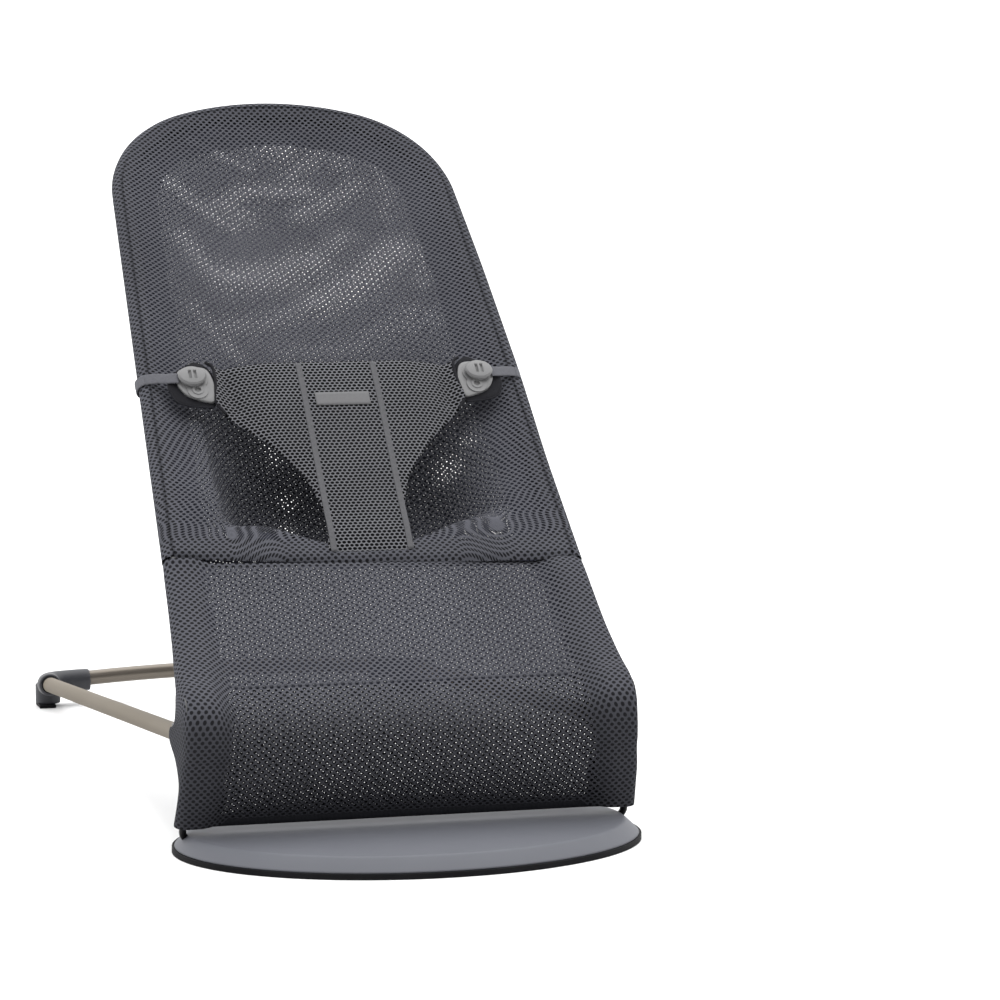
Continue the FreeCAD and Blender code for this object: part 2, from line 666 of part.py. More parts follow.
def buckles():
    """Keyhole plate on the harness, sliding button and elastic side strap."""
    middle_x = dim("buckle_x")
    middle_y = dim("buckle_run")
    travel = dim("button_travel")
    spare = V(middle_x - 3.5, middle_y - 13, 0)
    body = new_body()
    leaf = new_sketch(body, "XY_Plane")
    add_circle(leaf, middle_x - 2, middle_y, "12")
    pad(body, leaf, "2")
    tail = new_sketch(body, "XY_Plane")
    add_circle(tail, spare.x, spare.y, "9")
    pad(body, tail, "2")
    ring = new_sketch(body, "XY_Plane")
    add_circle(ring, spare.x, spare.y, "5")
    pad(body, ring, "2.6")
    holes = new_sketch(body, "XY_Plane")
    add_circle(holes, spare.x, spare.y, "Dims.stem_radius + 0.3")
    pocket(body, holes, "2.6", reverse=True)
    slot = new_sketch(body, "XY_Plane")
    half = dim("stem_radius") + 0.3
    inner = middle_x - travel
    slot.addGeometry(Part.LineSegment(V(inner, middle_y - half, 0), V(middle_x, middle_y - half, 0)))
    slot.addGeometry(Part.LineSegment(V(inner, middle_y + half, 0), V(middle_x, middle_y + half, 0)))
    slot.addGeometry(Part.Arc(V(middle_x, middle_y - half, 0), V(middle_x + half, middle_y, 0),
                              V(middle_x, middle_y + half, 0)))
    slot.addGeometry(Part.Arc(V(inner, middle_y + half, 0), V(inner - half, middle_y, 0),
                              V(inner, middle_y - half, 0)))
    pocket(body, slot, "2", reverse=True)
    lift = dim("harness_thickness") + 1.2
    both_sides(body, "keyhole_plate", HARNESS * at(0, 0, lift))

    body = new_body()
    flange = new_sketch(body, "XY_Plane", "-0.9")
    add_circle(flange, 0, 0, "Dims.stem_radius + 1.6")
    pad(body, flange, "0.7")
    stem = new_sketch(body, "XY_Plane", "-0.9")
    add_circle(stem, 0, 0, "Dims.stem_radius")
    pad(body, stem, "4")
    cap = new_sketch(body, "XY_Plane", "2.9")
    cap.addGeometry(Part.Ellipse(V(0, 0, 0), dim("button_half_width"), dim("button_half_height")))
    pad(body, cap, "3")
    slits = new_sketch(body, "XY_Plane", "6")
    for x in (-3, 3):
        add_polygon(slits, [(x - 0.9, -4), (x + 0.9, -4), (x + 0.9, 4), (x - 0.9, 4)])
    pocket(body, slits, "1.6")
    both_sides(body, "harness_button", HARNESS * at(middle_x, middle_y, lift))

    start = (HARNESS * at(middle_x + dim("button_half_width") + 0.6, middle_y, lift + 2)).Base
    start = SEAT.inverse().multVec(start)
    end_y = start.y
    rail_x = dim("rail_half_low") - end_y * sin(radians(dim("rail_taper")))
    end = V(rail_x - 1, end_y, dim("sleeve_radius") + 0.9)
    strap = box(str((end - start).Length), "Dims.strap_width", "Dims.strap_thickness")
    across = V(0, -dim("strap_width") / 2, 0)
    turn = Rotation(AXIS_X, end - start)
    both_sides(strap, "side_strap", SEAT * Placement(start + across, turn))


# ---------------------------------------------------------------- assembly
def build():
    foot_plate()
    wire_clamps()
    spring_wires()
    floor_frame()
    hinge_housings()
    recline_hubs()
    rail_ends()
    seat_frame()
    sleeves()
    leg_panels()
    back_panel()
    seat_pocket()
    harness()
    buckles()


def check():
    """Stop on any failed object or bad solid."""
    failed = [obj.Label for obj in doc.Objects if "Invalid" in obj.State or "Error" in obj.State]
    bad = [obj.Label for obj in nodes if obj.Shape.isNull() or not obj.Shape.isValid() or not obj.Shape.Solids]
    if failed or bad:
        raise SystemExit(f"failed objects {failed}, bad shapes {bad}")


build()
doc.recompute()
check()
for part in nodes:
    part.Shape.exportStep(f"parts/{part.Label}.step")
    print(part.Label, len(part.Shape.Solids), round(part.Shape.Volume), part.Shape.BoundBox)
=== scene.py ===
import json
from math import atan2, cos, pi, radians, sin, sqrt, tan

import bmesh
import bpy
import numpy as np
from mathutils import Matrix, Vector


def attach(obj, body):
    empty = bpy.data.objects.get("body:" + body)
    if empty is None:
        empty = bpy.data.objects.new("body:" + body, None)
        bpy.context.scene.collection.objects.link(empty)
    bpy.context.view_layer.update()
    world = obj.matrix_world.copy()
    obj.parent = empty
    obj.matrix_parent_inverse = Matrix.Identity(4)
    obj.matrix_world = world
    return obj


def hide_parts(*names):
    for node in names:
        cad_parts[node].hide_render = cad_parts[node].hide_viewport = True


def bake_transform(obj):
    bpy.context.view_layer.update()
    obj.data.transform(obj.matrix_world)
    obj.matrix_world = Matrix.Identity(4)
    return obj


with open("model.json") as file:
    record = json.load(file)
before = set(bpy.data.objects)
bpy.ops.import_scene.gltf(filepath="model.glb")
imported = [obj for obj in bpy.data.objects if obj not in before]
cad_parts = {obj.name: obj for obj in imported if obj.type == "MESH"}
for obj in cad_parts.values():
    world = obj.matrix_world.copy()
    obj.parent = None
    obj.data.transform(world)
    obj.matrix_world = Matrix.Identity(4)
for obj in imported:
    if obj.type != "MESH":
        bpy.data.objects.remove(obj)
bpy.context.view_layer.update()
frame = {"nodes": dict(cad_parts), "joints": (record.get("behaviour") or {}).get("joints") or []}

# Baby bouncer seat. Shapes are worked out in millimetres and made in metres.
# The seat frame has its origin on the hinge axis: across the seat, run up the backrest, out of it.
MM = 0.001
JOINTS = {joint["name"]: joint for joint in frame["joints"]}
PIVOT = np.array(JOINTS["recline"]["pos_m"]) / MM
SLOPE = radians(42.0)
ACROSS = np.array([1.0, 0.0, 0.0])
UP_BACK = np.array([0.0, cos(SLOPE), sin(SLOPE)])
OUT_OF_BACK = np.array([0.0, -sin(SLOPE), cos(SLOPE)])

# Seat rails and head hoop, as the frame has them.
RAIL_HALF = 178.0
TAPER = radians(2.6)
RAIL_RUN = 590.0
CORNER_RADIUS = 108.0
APEX = 700.0
SLEEVE = 8.5
LEAN = np.array([-sin(TAPER), cos(TAPER)])
SHOULDER = np.array([RAIL_HALF, 0.0]) + RAIL_RUN * LEAN
CORNER_CENTRE = SHOULDER - CORNER_RADIUS * np.array([cos(TAPER), sin(TAPER)])
RISE = APEX - CORNER_CENTRE[1]
TOP_RADIUS = (CORNER_CENTRE[0] ** 2 + RISE ** 2 - CORNER_RADIUS ** 2) / (2 * (RISE - CORNER_RADIUS))
TOP_CENTRE = np.array([0.0, APEX - TOP_RADIUS])
MEET_ANGLE = atan2(CORNER_CENTRE[1] - TOP_CENTRE[1], CORNER_CENTRE[0])
CORNER_LENGTH = CORNER_RADIUS * (MEET_ANGLE - TAPER)
RIM_LENGTH = RAIL_RUN + CORNER_LENGTH + TOP_RADIUS * (pi / 2 - MEET_ANGLE)

# Fabric.
CREASE = 153.0
CREASE_SKEW = 7.0
SAG = 15.0
POCKET_DEPTH = 60.0
POCKET_HALF = 122.0
PANEL_SEAM = 150.0
HARNESS_BASE = 162.0
HARNESS_LIFT = 3.0
HARNESS_TILT = radians(3.2)
HARNESS_THICKNESS = 3.5
HARNESS_TOP = 199.0
BUTTON_ACROSS = 127.5
BUTTON_UP = 186.0
HINGE_HEIGHT = 112.0
LINING_TURN = radians(11)

# Soft wrinkles of the backrest, where its two layers let light through: points (across, run), width and
# strength.
WRINKLES = [
    ([(-16, 668), (6, 650)], 12, 0.9),
    ([(-121, 620), (-88, 587), (-54, 559)], 6, 0.8),
    ([(-79, 657), (-51, 643), (-25, 629)], 5, 0.6),
    ([(36, 674), (37, 640), (10, 618)], 7, 0.7),
    ([(-62, 585), (-34, 602), (24, 601)], 7, 0.8),
    ([(-55, 580), (-39, 571)], 10, 0.7),
    ([(12, 573), (68, 603)], 8, 0.75),
    ([(57, 637), (60, 630)], 8, 0.6),
    ([(95, 637), (96, 608), (89, 563)], 6, 0.5),
    ([(-104, 540), (-84, 500), (-56, 490)], 8, 0.8),
    ([(-70, 492), (-28, 496), (12, 514)], 13, 1.0),
    ([(12, 514), (47, 543)], 9, 0.7),
    ([(-79, 431), (-37, 442), (10, 465)], 9, 0.6),
    ([(10, 465), (54, 489), (88, 517)], 12, 1.0),
    ([(-108, 453), (-92, 424), (-76, 394)], 6, 0.6),
    ([(115, 519), (106, 476)], 6, 0.6),
    ([(129, 501), (122, 467)], 5, 0.5),
    ([(89, 446), (85, 423)], 6, 0.5),
    ([(104, 434), (104, 428)], 6, 0.5),
    ([(-30, 400), (30, 405), (70, 430)], 10, 0.45),
]
# Places in the seat pocket where light comes through both layers.
POCKET_SPECKS = [
    ([(-64, 315), (-56, 296)], 4, 0.8),
    ([(-50, 264), (-47, 262)], 4, 1.0),
    ([(-53, 241), (-49, 240)], 3, 1.0),
    ([(92, 276), (96, 272)], 6, 1.0),
    ([(127, 338), (124, 332)], 4, 0.9),
    ([(99, 327), (99, 322)], 5, 0.9),
    ([(109, 291), (114, 288)], 3, 0.9),
    ([(136, 257), (138, 252)], 4, 0.9),
]


# ---------------------------------------------------------------- numbers
def smooth(value, low, high):
    """Smooth step from 0 at low to 1 at high."""
    share = np.clip((np.asarray(value, float) - low) / (high - low), 0, 1)
    return share * share * (3 - 2 * share)


def seat_points(across, run, out):
    """Places in the seat frame as points of the row frame, in mm."""
    across, run, out = np.broadcast_arrays(across, run, out)
    return PIVOT + across[..., None] * ACROSS + run[..., None] * UP_BACK + out[..., None] * OUT_OF_BACK


def through(stations, count):
    """A smooth line through some stations (rows of numbers), at count even steps."""
    stations = np.asarray(stations, float)
    padded = np.vstack([2 * stations[0] - stations[1], stations, 2 * stations[-1] - stations[-2]])
    place = np.linspace(0, len(stations) - 1, count)
    index = np.minimum(place.astype(int), len(stations) - 2)
    t = (place - index)[:, None]
    a, b, c, d = (padded[index + k] for k in range(4))
    return 0.5 * (2 * b + (c - a) * t + (2 * a - 5 * b + 4 * c - d) * t ** 2
                  + (3 * b - a - 3 * c + d) * t ** 3)


def directions(line):
    """Unit direction of a line at each of its points."""
    slope = np.gradient(line, axis=0)
    return slope / np.linalg.norm(slope, axis=1, keepdims=True)


def near_line(across, run, points, width):
    """1 on a line through some points, fading to 0 beside it."""
    nearest = np.full(np.shape(across), np.inf)
    for (ax, ay), (bx, by) in zip(points, points[1:]):
        dx, dy = bx - ax, by - ay
        share = np.clip(((across - ax) * dx + (run - ay) * dy) / (dx * dx + dy * dy), 0, 1)
        nearest = np.minimum(nearest, np.hypot(across - ax - share * dx, run - ay - share * dy))
    return np.exp(-(nearest / width) ** 2)


def ripple(across, run, seed, size):
    """A gentle unevenness, about -1 to 1, made of a few sine waves."""
    chance = np.random.default_rng(seed)
    total = np.zeros(np.shape(across))
    for turn in chance.uniform(0, 2 * pi, 7):
        wave = 2 * pi / (size * chance.uniform(0.7, 1.6))
        total += np.sin(wave * (across * cos(turn) + run * sin(turn)) + chance.uniform(0, 2 * pi))
    return total / 3


# ---------------------------------------------------------------- rim of the seat
def rim(around):
    """Rail and hoop centre line and its outward direction, by length from the apex, left side negative."""
    around = np.asarray(around, float)
    distance = RIM_LENGTH - np.abs(around)
    turn = TAPER + np.clip(distance - RAIL_RUN, 0, CORNER_LENGTH) / CORNER_RADIUS
    turn = turn + np.clip(distance - RAIL_RUN - CORNER_LENGTH, 0, None) / TOP_RADIUS
    outward = np.stack([np.cos(turn), np.sin(turn)], axis=-1)
    on_rail = np.array([RAIL_HALF, 0.0]) + np.minimum(distance, RAIL_RUN)[..., None] * LEAN
    on_corner = CORNER_CENTRE + CORNER_RADIUS * outward
    on_top = TOP_CENTRE + TOP_RADIUS * outward
    place = np.where((distance > RAIL_RUN + CORNER_LENGTH)[..., None], on_top,
                     np.where((distance > RAIL_RUN)[..., None], on_corner, on_rail))
    side = np.where(around < 0, -1.0, 1.0)
    mirror = np.stack([side, np.ones_like(side)], axis=-1)
    return place * mirror, outward * mirror


def half_width(run):
    """Half spacing of the rim's centre line at a run."""
    run = np.asarray(run, float)
    on_rail = RAIL_HALF - run * tan(TAPER)
    on_corner = CORNER_CENTRE[0] + np.sqrt(np.maximum(CORNER_RADIUS ** 2 - (run - CORNER_CENTRE[1]) ** 2, 0))
    on_top = np.sqrt(np.maximum(TOP_RADIUS ** 2 - (run - TOP_CENTRE[1]) ** 2, 1))
    meet = TOP_CENTRE[1] + TOP_RADIUS * sin(MEET_ANGLE)
    return np.where(run > meet, on_top, np.where(run > SHOULDER[1], on_corner, on_rail))


# ---------------------------------------------------------------- shape of the fabric
def dish(across, run):
    """How far a place is from the rim: 0 on the rim, 1 in the middle of the backrest."""
    side = 1 - np.clip(np.abs(across) / half_width(run), 0, 1) ** 2
    top = 1 - np.clip(1 - (APEX - run) / 150.0, 0, 1) ** 2
    return side * top


def pocket(across, run):
    """Share of the seat pocket's depth."""
    reach = POCKET_HALF - np.abs(across)
    sharp = np.clip(reach / 52, 0, 1)
    side = np.where(across < 0, sharp * (2 - sharp), smooth(reach, -14, 50))
    lip = 168 + 24 * np.exp(-((np.abs(across) - 95) / 42) ** 2)
    front = smooth((run - lip) / 34, 0, 1)
    rear = 1 - smooth(run, 238, 352)
    return side * front * rear


def wrinkles(across, run):
    """How far the soft wrinkles stand out of the backrest."""
    total = 0.6 * ripple(across, run, 5, 70) * smooth(dish(across, run), 0.1, 0.6)
    for points, width, strength in WRINKLES:
        total = total + 1.7 * strength * near_line(across, run, points, width * 0.9)
        total = total - 0.9 * strength * near_line(across, run - 1.8 * width, points, width * 1.3)
    return total * smooth(run, 330, 380)


def cover_out(across, run):
    """Height of the cover's front layer above the rail plane."""
    drop = 5.5 + (SLEEVE + SAG - 5.5) * smooth(run, 160, 330)
    height = SLEEVE - drop * dish(across, run) - POCKET_DEPTH * pocket(across, run)
    roll = 4.0 * np.clip(1 - (run - crease_run(across)) / 7.0, 0, 1) ** 2
    uneven = 1.2 * ripple(across, run, 9, 46) * (1 - smooth(run, 330, 380)) * smooth(run, 165, 200)
    inside = smooth(half_width(run) - np.abs(across), 0, 40)
    return height - roll + (wrinkles(across, run) + uneven) * inside


def crease_run(across):
    """Where the seat's front edge lies: the cover sits a little lower on the right rail."""
    return CREASE - CREASE_SKEW * np.asarray(across, float) / RAIL_HALF


def openness(across, run):
    """How far the rear layer's holes are stretched open, 0 to 1."""
    total = np.zeros(np.shape(across))
    for points, width, strength in WRINKLES + POCKET_SPECKS:
        total = np.maximum(total, strength * near_line(across - 4, run - 9, points, width * 1.9))
    return np.clip(total, 0, 1)


def harness_out(across, up):
    """Height of the harness's top face above the harness plane; its wings dip and then rise to their ends."""
    crown = 7.0 * smooth(up, 30, 185) * (1 - smooth(np.abs(across), 60, 97))
    rise = 8.0 * smooth(np.abs(across), 96, 115) * smooth(up, 130, 165)
    crease = near_line(across, up, [(-100, 199), (-93, 152)], 5)
    crease = crease + near_line(across, up, [(101, 199), (97, 152)], 5)
    folds = near_line(across, up, [(-88, 199), (-80, 150)], 7)
    folds = folds + near_line(across, up, [(88, 199), (82, 150)], 7)
    sink = 2.5 * (1 - smooth(up, 0, 25))
    return HARNESS_THICKNESS + crown + rise - 1.8 * crease + 1.2 * folds - sink


def harness_points(across, up, lift):
    """Places on the harness as points of the row frame."""
    across, up, lift = np.broadcast_arrays(across, up, lift)
    run = HARNESS_BASE + up * cos(HARNESS_TILT) - lift * sin(HARNESS_TILT)
    out = HARNESS_LIFT + up * sin(HARNESS_TILT) + lift * cos(HARNESS_TILT)
    return seat_points(across, run, out)


# ---------------------------------------------------------------- meshes
def mesh_object(name, points, faces, weave=None, shades=None):
    """A smooth mesh from points in mm, with weave coordinates and point shades where it is cloth."""
    mesh = bpy.data.meshes.new(name)
    places = [tuple(point) for point in np.asarray(points) * MM]
    mesh.from_pydata(places, [], [tuple(face) for face in faces])
    mesh.update()
    mesh.shade_smooth()
    if weave is not None:
        layer = mesh.uv_layers.new(name="weave")
        loops = np.array([loop.vertex_index for loop in mesh.loops])
        layer.data.foreach_set("uv", (np.asarray(weave)[loops] * MM).astype(np.float32).ravel())
    for key, values in (shades or {}).items():
        attribute = mesh.attributes.new(key, "FLOAT", "POINT")
        attribute.data.foreach_set("value", np.asarray(values, np.float32).ravel())
    made = bpy.data.objects.new(name, mesh)
    bpy.context.scene.collection.objects.link(made)
    return made


def grid_faces(rows, columns, wrap=False, first=0):
    """Faces of a grid whose points run row by row; wrap closes each row on itself."""
    faces = []
    for row in range(rows - 1):
        for column in range(columns if wrap else columns - 1):
            after = (column + 1) % columns
            a = first + row * columns
            b = a + columns
            faces.append((a + column, a + after, b + after, b + column))
    return faces


def grid_object(name, points, weave=None, shades=None, wrap=False, capped=False):
    """A grid of points [rows, columns, 3]; capped closes both ends of a wrapped grid."""
    rows, columns = points.shape[:2]
    faces = grid_faces(rows, columns, wrap)
    if capped:
        faces.append(tuple(reversed(range(columns))))
        faces.append(tuple(range((rows - 1) * columns, rows * columns)))
    flat = None if weave is None else weave.reshape(-1, 2)
    return mesh_object(name, points.reshape(-1, 3), faces, flat, shades)


def slab_loop(half, thickness, count):
    """Closed section of a thin slab with rounded edges: across and height, from the top's left edge round."""
    share = np.sin(np.linspace(-pi / 2, pi / 2, count))
    height = thickness / 2 * np.sqrt(np.clip(1 - np.abs(share) ** 14, 0.02, 1))
    across = np.concatenate([share, share[::-1]]) * half
    return across, np.concatenate([height, -height[::-1]])


def tube_along(path, radii, sides=28):
    """Rings of a round tube along a path that stays nearly level, as points [rings, sides, 3]."""
    slope = directions(path)
    side = np.cross(slope, (0.0, 0.0, 1.0))
    side /= np.linalg.norm(side, axis=1, keepdims=True)
    up = np.cross(side, slope)
    turns = np.linspace(0, 2 * pi, sides + 1)[:-1]
    radii = np.broadcast_to(radii, len(path))[:, None, None]
    return (path[:, None] + radii * np.cos(turns)[None, :, None] * side[:, None]
            + radii * np.sin(turns)[None, :, None] * up[:, None])


def modifier(piece, kind, **settings):
    """Adds a modifier with its settings."""
    made = piece.modifiers.new(kind.lower(), kind)
    for key, value in settings.items():
        setattr(made, key, value)
    return made


# ---------------------------------------------------------------- material nodes
def add(tree, kind, inputs=None, **settings):
    """One node, with its settings, and its inputs set to values or linked to other nodes' outputs."""
    made = tree.nodes.new(kind)
    for key, value in settings.items():
        setattr(made, key, value)
    for key, value in (inputs or {}).items():
        if isinstance(value, bpy.types.NodeSocket):
            tree.links.new(value, made.inputs[key])
        else:
            made.inputs[key].default_value = value
    return made


def calc(tree, operation, a, b=0.0):
    """One sum of two numbers."""
    return add(tree, "ShaderNodeMath", {0: a, 1: b}, operation=operation).outputs[0]


def vector(tree, operation, inputs, output=0):
    """One sum of vectors."""
    return add(tree, "ShaderNodeVectorMath", inputs, operation=operation).outputs[output]


def ramp(tree, value, low, high, start, end):
    """Smooth change from start to end as value goes from low to high."""
    return add(tree, "ShaderNodeMapRange", {"Value": value, "From Min": low, "From Max": high,
                                            "To Min": start, "To Max": end},
               interpolation_type="SMOOTHSTEP").outputs["Result"]


def mix_colour(tree, share, dark, light):
    """Colour between dark, where share is 0, and light, where it is 1."""
    made = add(tree, "ShaderNodeMix", {"Factor": share}, data_type="RGBA")
    made.inputs[6].default_value = (*dark, 1)
    made.inputs[7].default_value = (*light, 1)
    return made.outputs[2]


def noise(tree, place, scale, detail=2.0):
    """Cloudy values, about 0 to 1."""
    return add(tree, "ShaderNodeTexNoise", {"Vector": place, "Scale": scale, "Detail": detail}).outputs[0]


def new_material(name, roughness, **constants):
    """A material with a Principled shader: (tree, shader, object coordinates)."""
    material = bpy.data.materials.new(name)
    material.use_nodes = True
    tree = material.node_tree
    shader = tree.nodes["Principled BSDF"]
    shader.inputs["Roughness"].default_value = roughness
    for key, value in constants.items():
        shader.inputs[key.replace("_", " ").title().replace("Ior", "IOR")].default_value = value
    place = add(tree, "ShaderNodeTexCoord").outputs["Object"]
    return material, tree, shader, place


def bump(tree, shader, height, strength, distance):
    """Fine relief on a shader's surface."""
    made = add(tree, "ShaderNodeBump", {"Height": height, "Strength": strength, "Distance": distance})
    tree.links.new(made.outputs[0], shader.inputs["Normal"])


def weave_place(tree):
    """Weave coordinates in mm, slightly uneven as knitted threads are."""
    flat = add(tree, "ShaderNodeUVMap", uv_map="weave").outputs[0]
    place = vector(tree, "SCALE", {0: flat, "Scale": 1 / MM})
    wander = add(tree, "ShaderNodeTexNoise", {"Vector": place, "Scale": 0.11, "Detail": 1.0}).outputs["Color"]
    centred = vector(tree, "SUBTRACT", {0: wander, 1: (0.5, 0.5, 0.5)})
    shift = vector(tree, "SCALE", {0: centred, "Scale": 0.9})
    return vector(tree, "ADD", {0: place, 1: shift})


def hole_distance(tree, place, pitch, row):
    """Distance in mm from the nearest hole's centre, for holes in staggered rows."""
    nearest = None
    for shift in (0.0, 0.5):
        moved = vector(tree, "ADD", {0: place, 1: (shift * pitch, 2 * shift * row, 0)})
        local = vector(tree, "WRAP", {0: moved, 1: (pitch / 2, row, 1), 2: (-pitch / 2, -row, -1)})
        squeezed = vector(tree, "MULTIPLY", {0: local, 1: (0.86, 1.1, 0)})
        length = vector(tree, "LENGTH", {0: squeezed}, "Value")
        nearest = length if nearest is None else calc(tree, "MINIMUM", nearest, length)
    return nearest


def mesh_cloth(name, dark, light, pitch=5.9, row=2.75, radius=1.08, stretched=None):
    """Open knitted mesh. stretched is the hole radius where openness is 1; double cloth has closed holes.

    A point attribute of painted shading darkens the yarn where it is 1 (painted shade) and lightens it where
    it is -1 (painted light).
    """
    material, tree, shader, place = new_material(name, 0.8, specular_ior_level=0.06)
    weave = weave_place(tree)
    distance = hole_distance(tree, weave, pitch, row)
    size = radius
    if stretched is not None:
        opened = add(tree, "ShaderNodeAttribute", attribute_name="openness").outputs["Fac"]
        size = ramp(tree, opened, 0.0, 1.0, radius, stretched)
    outside = calc(tree, "SUBTRACT", distance, size)
    backed = add(tree, "ShaderNodeAttribute", attribute_name="double").outputs["Fac"]
    solid = calc(tree, "MAXIMUM", ramp(tree, outside, -0.16, 0.16, 0.0, 1.0), backed)
    # Painted shade: the holes and the yarn at their edges take the dark colour; where the cloth is double the
    # holes stay solid, dark for the shade of the layer behind.
    yarn = ramp(tree, outside, -0.1, 0.6, 0.0, 1.0)
    cloudy = noise(tree, place, 9.0)
    fibre = add(tree, "ShaderNodeTexWave", {"Vector": weave, "Scale": 0.62, "Distortion": 2.5, "Detail": 1.0},
                bands_direction="DIAGONAL").outputs["Fac"]
    tone = calc(tree, "MULTIPLY", yarn, ramp(tree, cloudy, 0.3, 0.7, 0.85, 1.0))
    tone = calc(tree, "MULTIPLY", tone, ramp(tree, fibre, 0.0, 1.0, 0.8, 1.0))
    # Painted shade and light: a point attribute scales the yarn's tone, darker where it is 1, lighter where
    # it is -1.
    painted_shading_factor = add(tree, "ShaderNodeAttribute", attribute_name="painted_shading").outputs["Fac"]
    tone = calc(tree, "MULTIPLY", tone, ramp(tree, painted_shading_factor, -1.0, 1.0, 1.5, 0.5))
    tree.links.new(mix_colour(tree, tone, dark, light), shader.inputs["Base Color"])
    tree.links.new(solid, shader.inputs["Alpha"])
    height = calc(tree, "ADD", yarn, calc(tree, "MULTIPLY", fibre, 0.18))
    bump(tree, shader, height, 0.7, 0.0006)
    return material


def spacer_cloth():
    """Thick harness mesh: pits instead of open holes, the pits painted near black as the shade in them."""
    material, tree, shader, place = new_material("harness_spacer_mesh", 0.8, specular_ior_level=0.06)
    distance = hole_distance(tree, weave_place(tree), 4.25, 3.05)
    rim_height = ramp(tree, distance, 1.22, 1.62, 0.0, 1.0)
    cloudy = ramp(tree, noise(tree, place, 14.0), 0.3, 0.7, 0.86, 1.0)
    tone = calc(tree, "MULTIPLY", rim_height, cloudy)
    # Painted shade: the pits take a near-black colour for the shade in their hollows.
    tree.links.new(mix_colour(tree, tone, (0.001, 0.001, 0.0015), (0.17, 0.172, 0.186)),
                   shader.inputs["Base Color"])
    bump(tree, shader, rim_height, 1.0, 0.0012)
    return material


def tape_cloth(name, dark, light, rib=1.1):
    """Woven tape or webbing with ribs."""
    material, tree, shader, _ = new_material(name, 0.8, specular_ior_level=0.1)
    flat = add(tree, "ShaderNodeUVMap", uv_map="weave").outputs[0]
    weave = vector(tree, "SCALE", {0: flat, "Scale": 1 / MM})
    ribs = add(tree, "ShaderNodeTexWave", {"Vector": weave, "Scale": 0.314 / rib, "Distortion": 0.4},
               bands_direction="X").outputs["Fac"]
    picks = add(tree, "ShaderNodeTexWave", {"Vector": weave, "Scale": 0.5, "Distortion": 0.4},
                bands_direction="Y").outputs["Fac"]
    height = calc(tree, "ADD", calc(tree, "MULTIPLY", ribs, 0.6), calc(tree, "MULTIPLY", picks, 0.4))
    uneven = calc(tree, "MULTIPLY", height, ramp(tree, noise(tree, weave, 0.4), 0.3, 0.7, 0.75, 1.0))
    tree.links.new(mix_colour(tree, uneven, dark, light), shader.inputs["Base Color"])
    bump(tree, shader, height, 0.6, 0.0003)
    return material


def moulded(name, dark, light, roughness, grain=900.0, strength=0.12, **constants):
    """Moulded plastic or rubber: fine grain, faint clouding and uneven gloss."""
    material, tree, shader, place = new_material(name, roughness, **constants)
    cloudy = ramp(tree, noise(tree, place, 18.0, 3.0), 0.35, 0.65, 0.0, 1.0)
    tree.links.new(mix_colour(tree, cloudy, dark, light), shader.inputs["Base Color"])
    worn = ramp(tree, noise(tree, place, 60.0, 4.0), 0.3, 0.7, roughness - 0.01, roughness + 0.01)
    tree.links.new(worn, shader.inputs["Roughness"])
    bump(tree, shader, noise(tree, place, grain, 1.0), strength, 0.0002)
    return material


def drawn_metal(name, dark, light, roughness, metallic=0.45, shine=0.3):
    """Drawn tube or wire: faint clouding and a satin finish."""
    material, tree, shader, place = new_material(name, roughness, metallic=metallic, specular_ior_level=shine)
    cloudy = ramp(tree, noise(tree, place, 7.0, 2.0), 0.35, 0.65, 0.0, 1.0)
    tree.links.new(mix_colour(tree, cloudy, dark, light), shader.inputs["Base Color"])
    return material


MATERIALS = {
    "pad_rubber": moulded("black_rubber", (0.004, 0.004, 0.005),
                           (0.007, 0.007, 0.008), 0.7, 500.0, 0.2, specular_ior_level=0.12),
    "plate_plastic": moulded("plate_blue_grey", (0.097, 0.101, 0.117),
                           (0.099, 0.103, 0.119), 0.6, 1400.0, 0.05, specular_ior_level=0.35),
    "black_plastic": moulded("black_moulded", (0.014, 0.014, 0.016), (0.022, 0.022, 0.025), 0.42),
    "spring_steel": moulded("black_coated_wire", (0.004, 0.004, 0.005),
                           (0.006, 0.006, 0.007), 0.45, 700.0, 0.08, specular_ior_level=0.2),
    "steel_fastener": drawn_metal("zinc_fastener", (0.4, 0.4, 0.42), (0.5, 0.5, 0.52), 0.32, 1.0),
    "frame_tube": drawn_metal("champagne_tube", (0.15, 0.131, 0.108), (0.16, 0.14, 0.116), 0.3),
    "elbow_plastic": moulded("elbow_soft_touch", (0.034, 0.035, 0.04),
                           (0.038, 0.039, 0.045), 0.5, 1200.0, 0.06, specular_ior_level=0.3),
    "rail_paint": moulded("black_paint", (0.012, 0.012, 0.014), (0.02, 0.02, 0.022), 0.35, 400.0, 0.05),
    "binding_tape": tape_cloth("hem_tape", (0.006, 0.006, 0.008), (0.026, 0.027, 0.032)),
    "harness_mesh": spacer_cloth(),
    "label_fabric": tape_cloth("blank_label", (0.13, 0.13, 0.134), (0.19, 0.19, 0.196), 0.5),
    "elastic_strap": tape_cloth("elastic_webbing", (0.06, 0.06, 0.068), (0.17, 0.172, 0.19), 1.3),
    "buckle_plastic": moulded("buckle_grey", (0.13, 0.13, 0.132), (0.145, 0.145, 0.147), 0.38, 900.0, 0.06),
    "mesh_fabric": mesh_cloth("cover_mesh", (0.012, 0.012, 0.014), (0.094, 0.096, 0.112)),
}
LEG_TUBE = drawn_metal("champagne_leg_tube", (0.165, 0.144, 0.115), (0.175, 0.154, 0.125), 0.6, 0.0, 0.05)
LINING_MESH = mesh_cloth("lining_mesh", (0.02, 0.02, 0.028), (0.062, 0.064, 0.088), 2.9, 1.9, 0.22, 0.6)
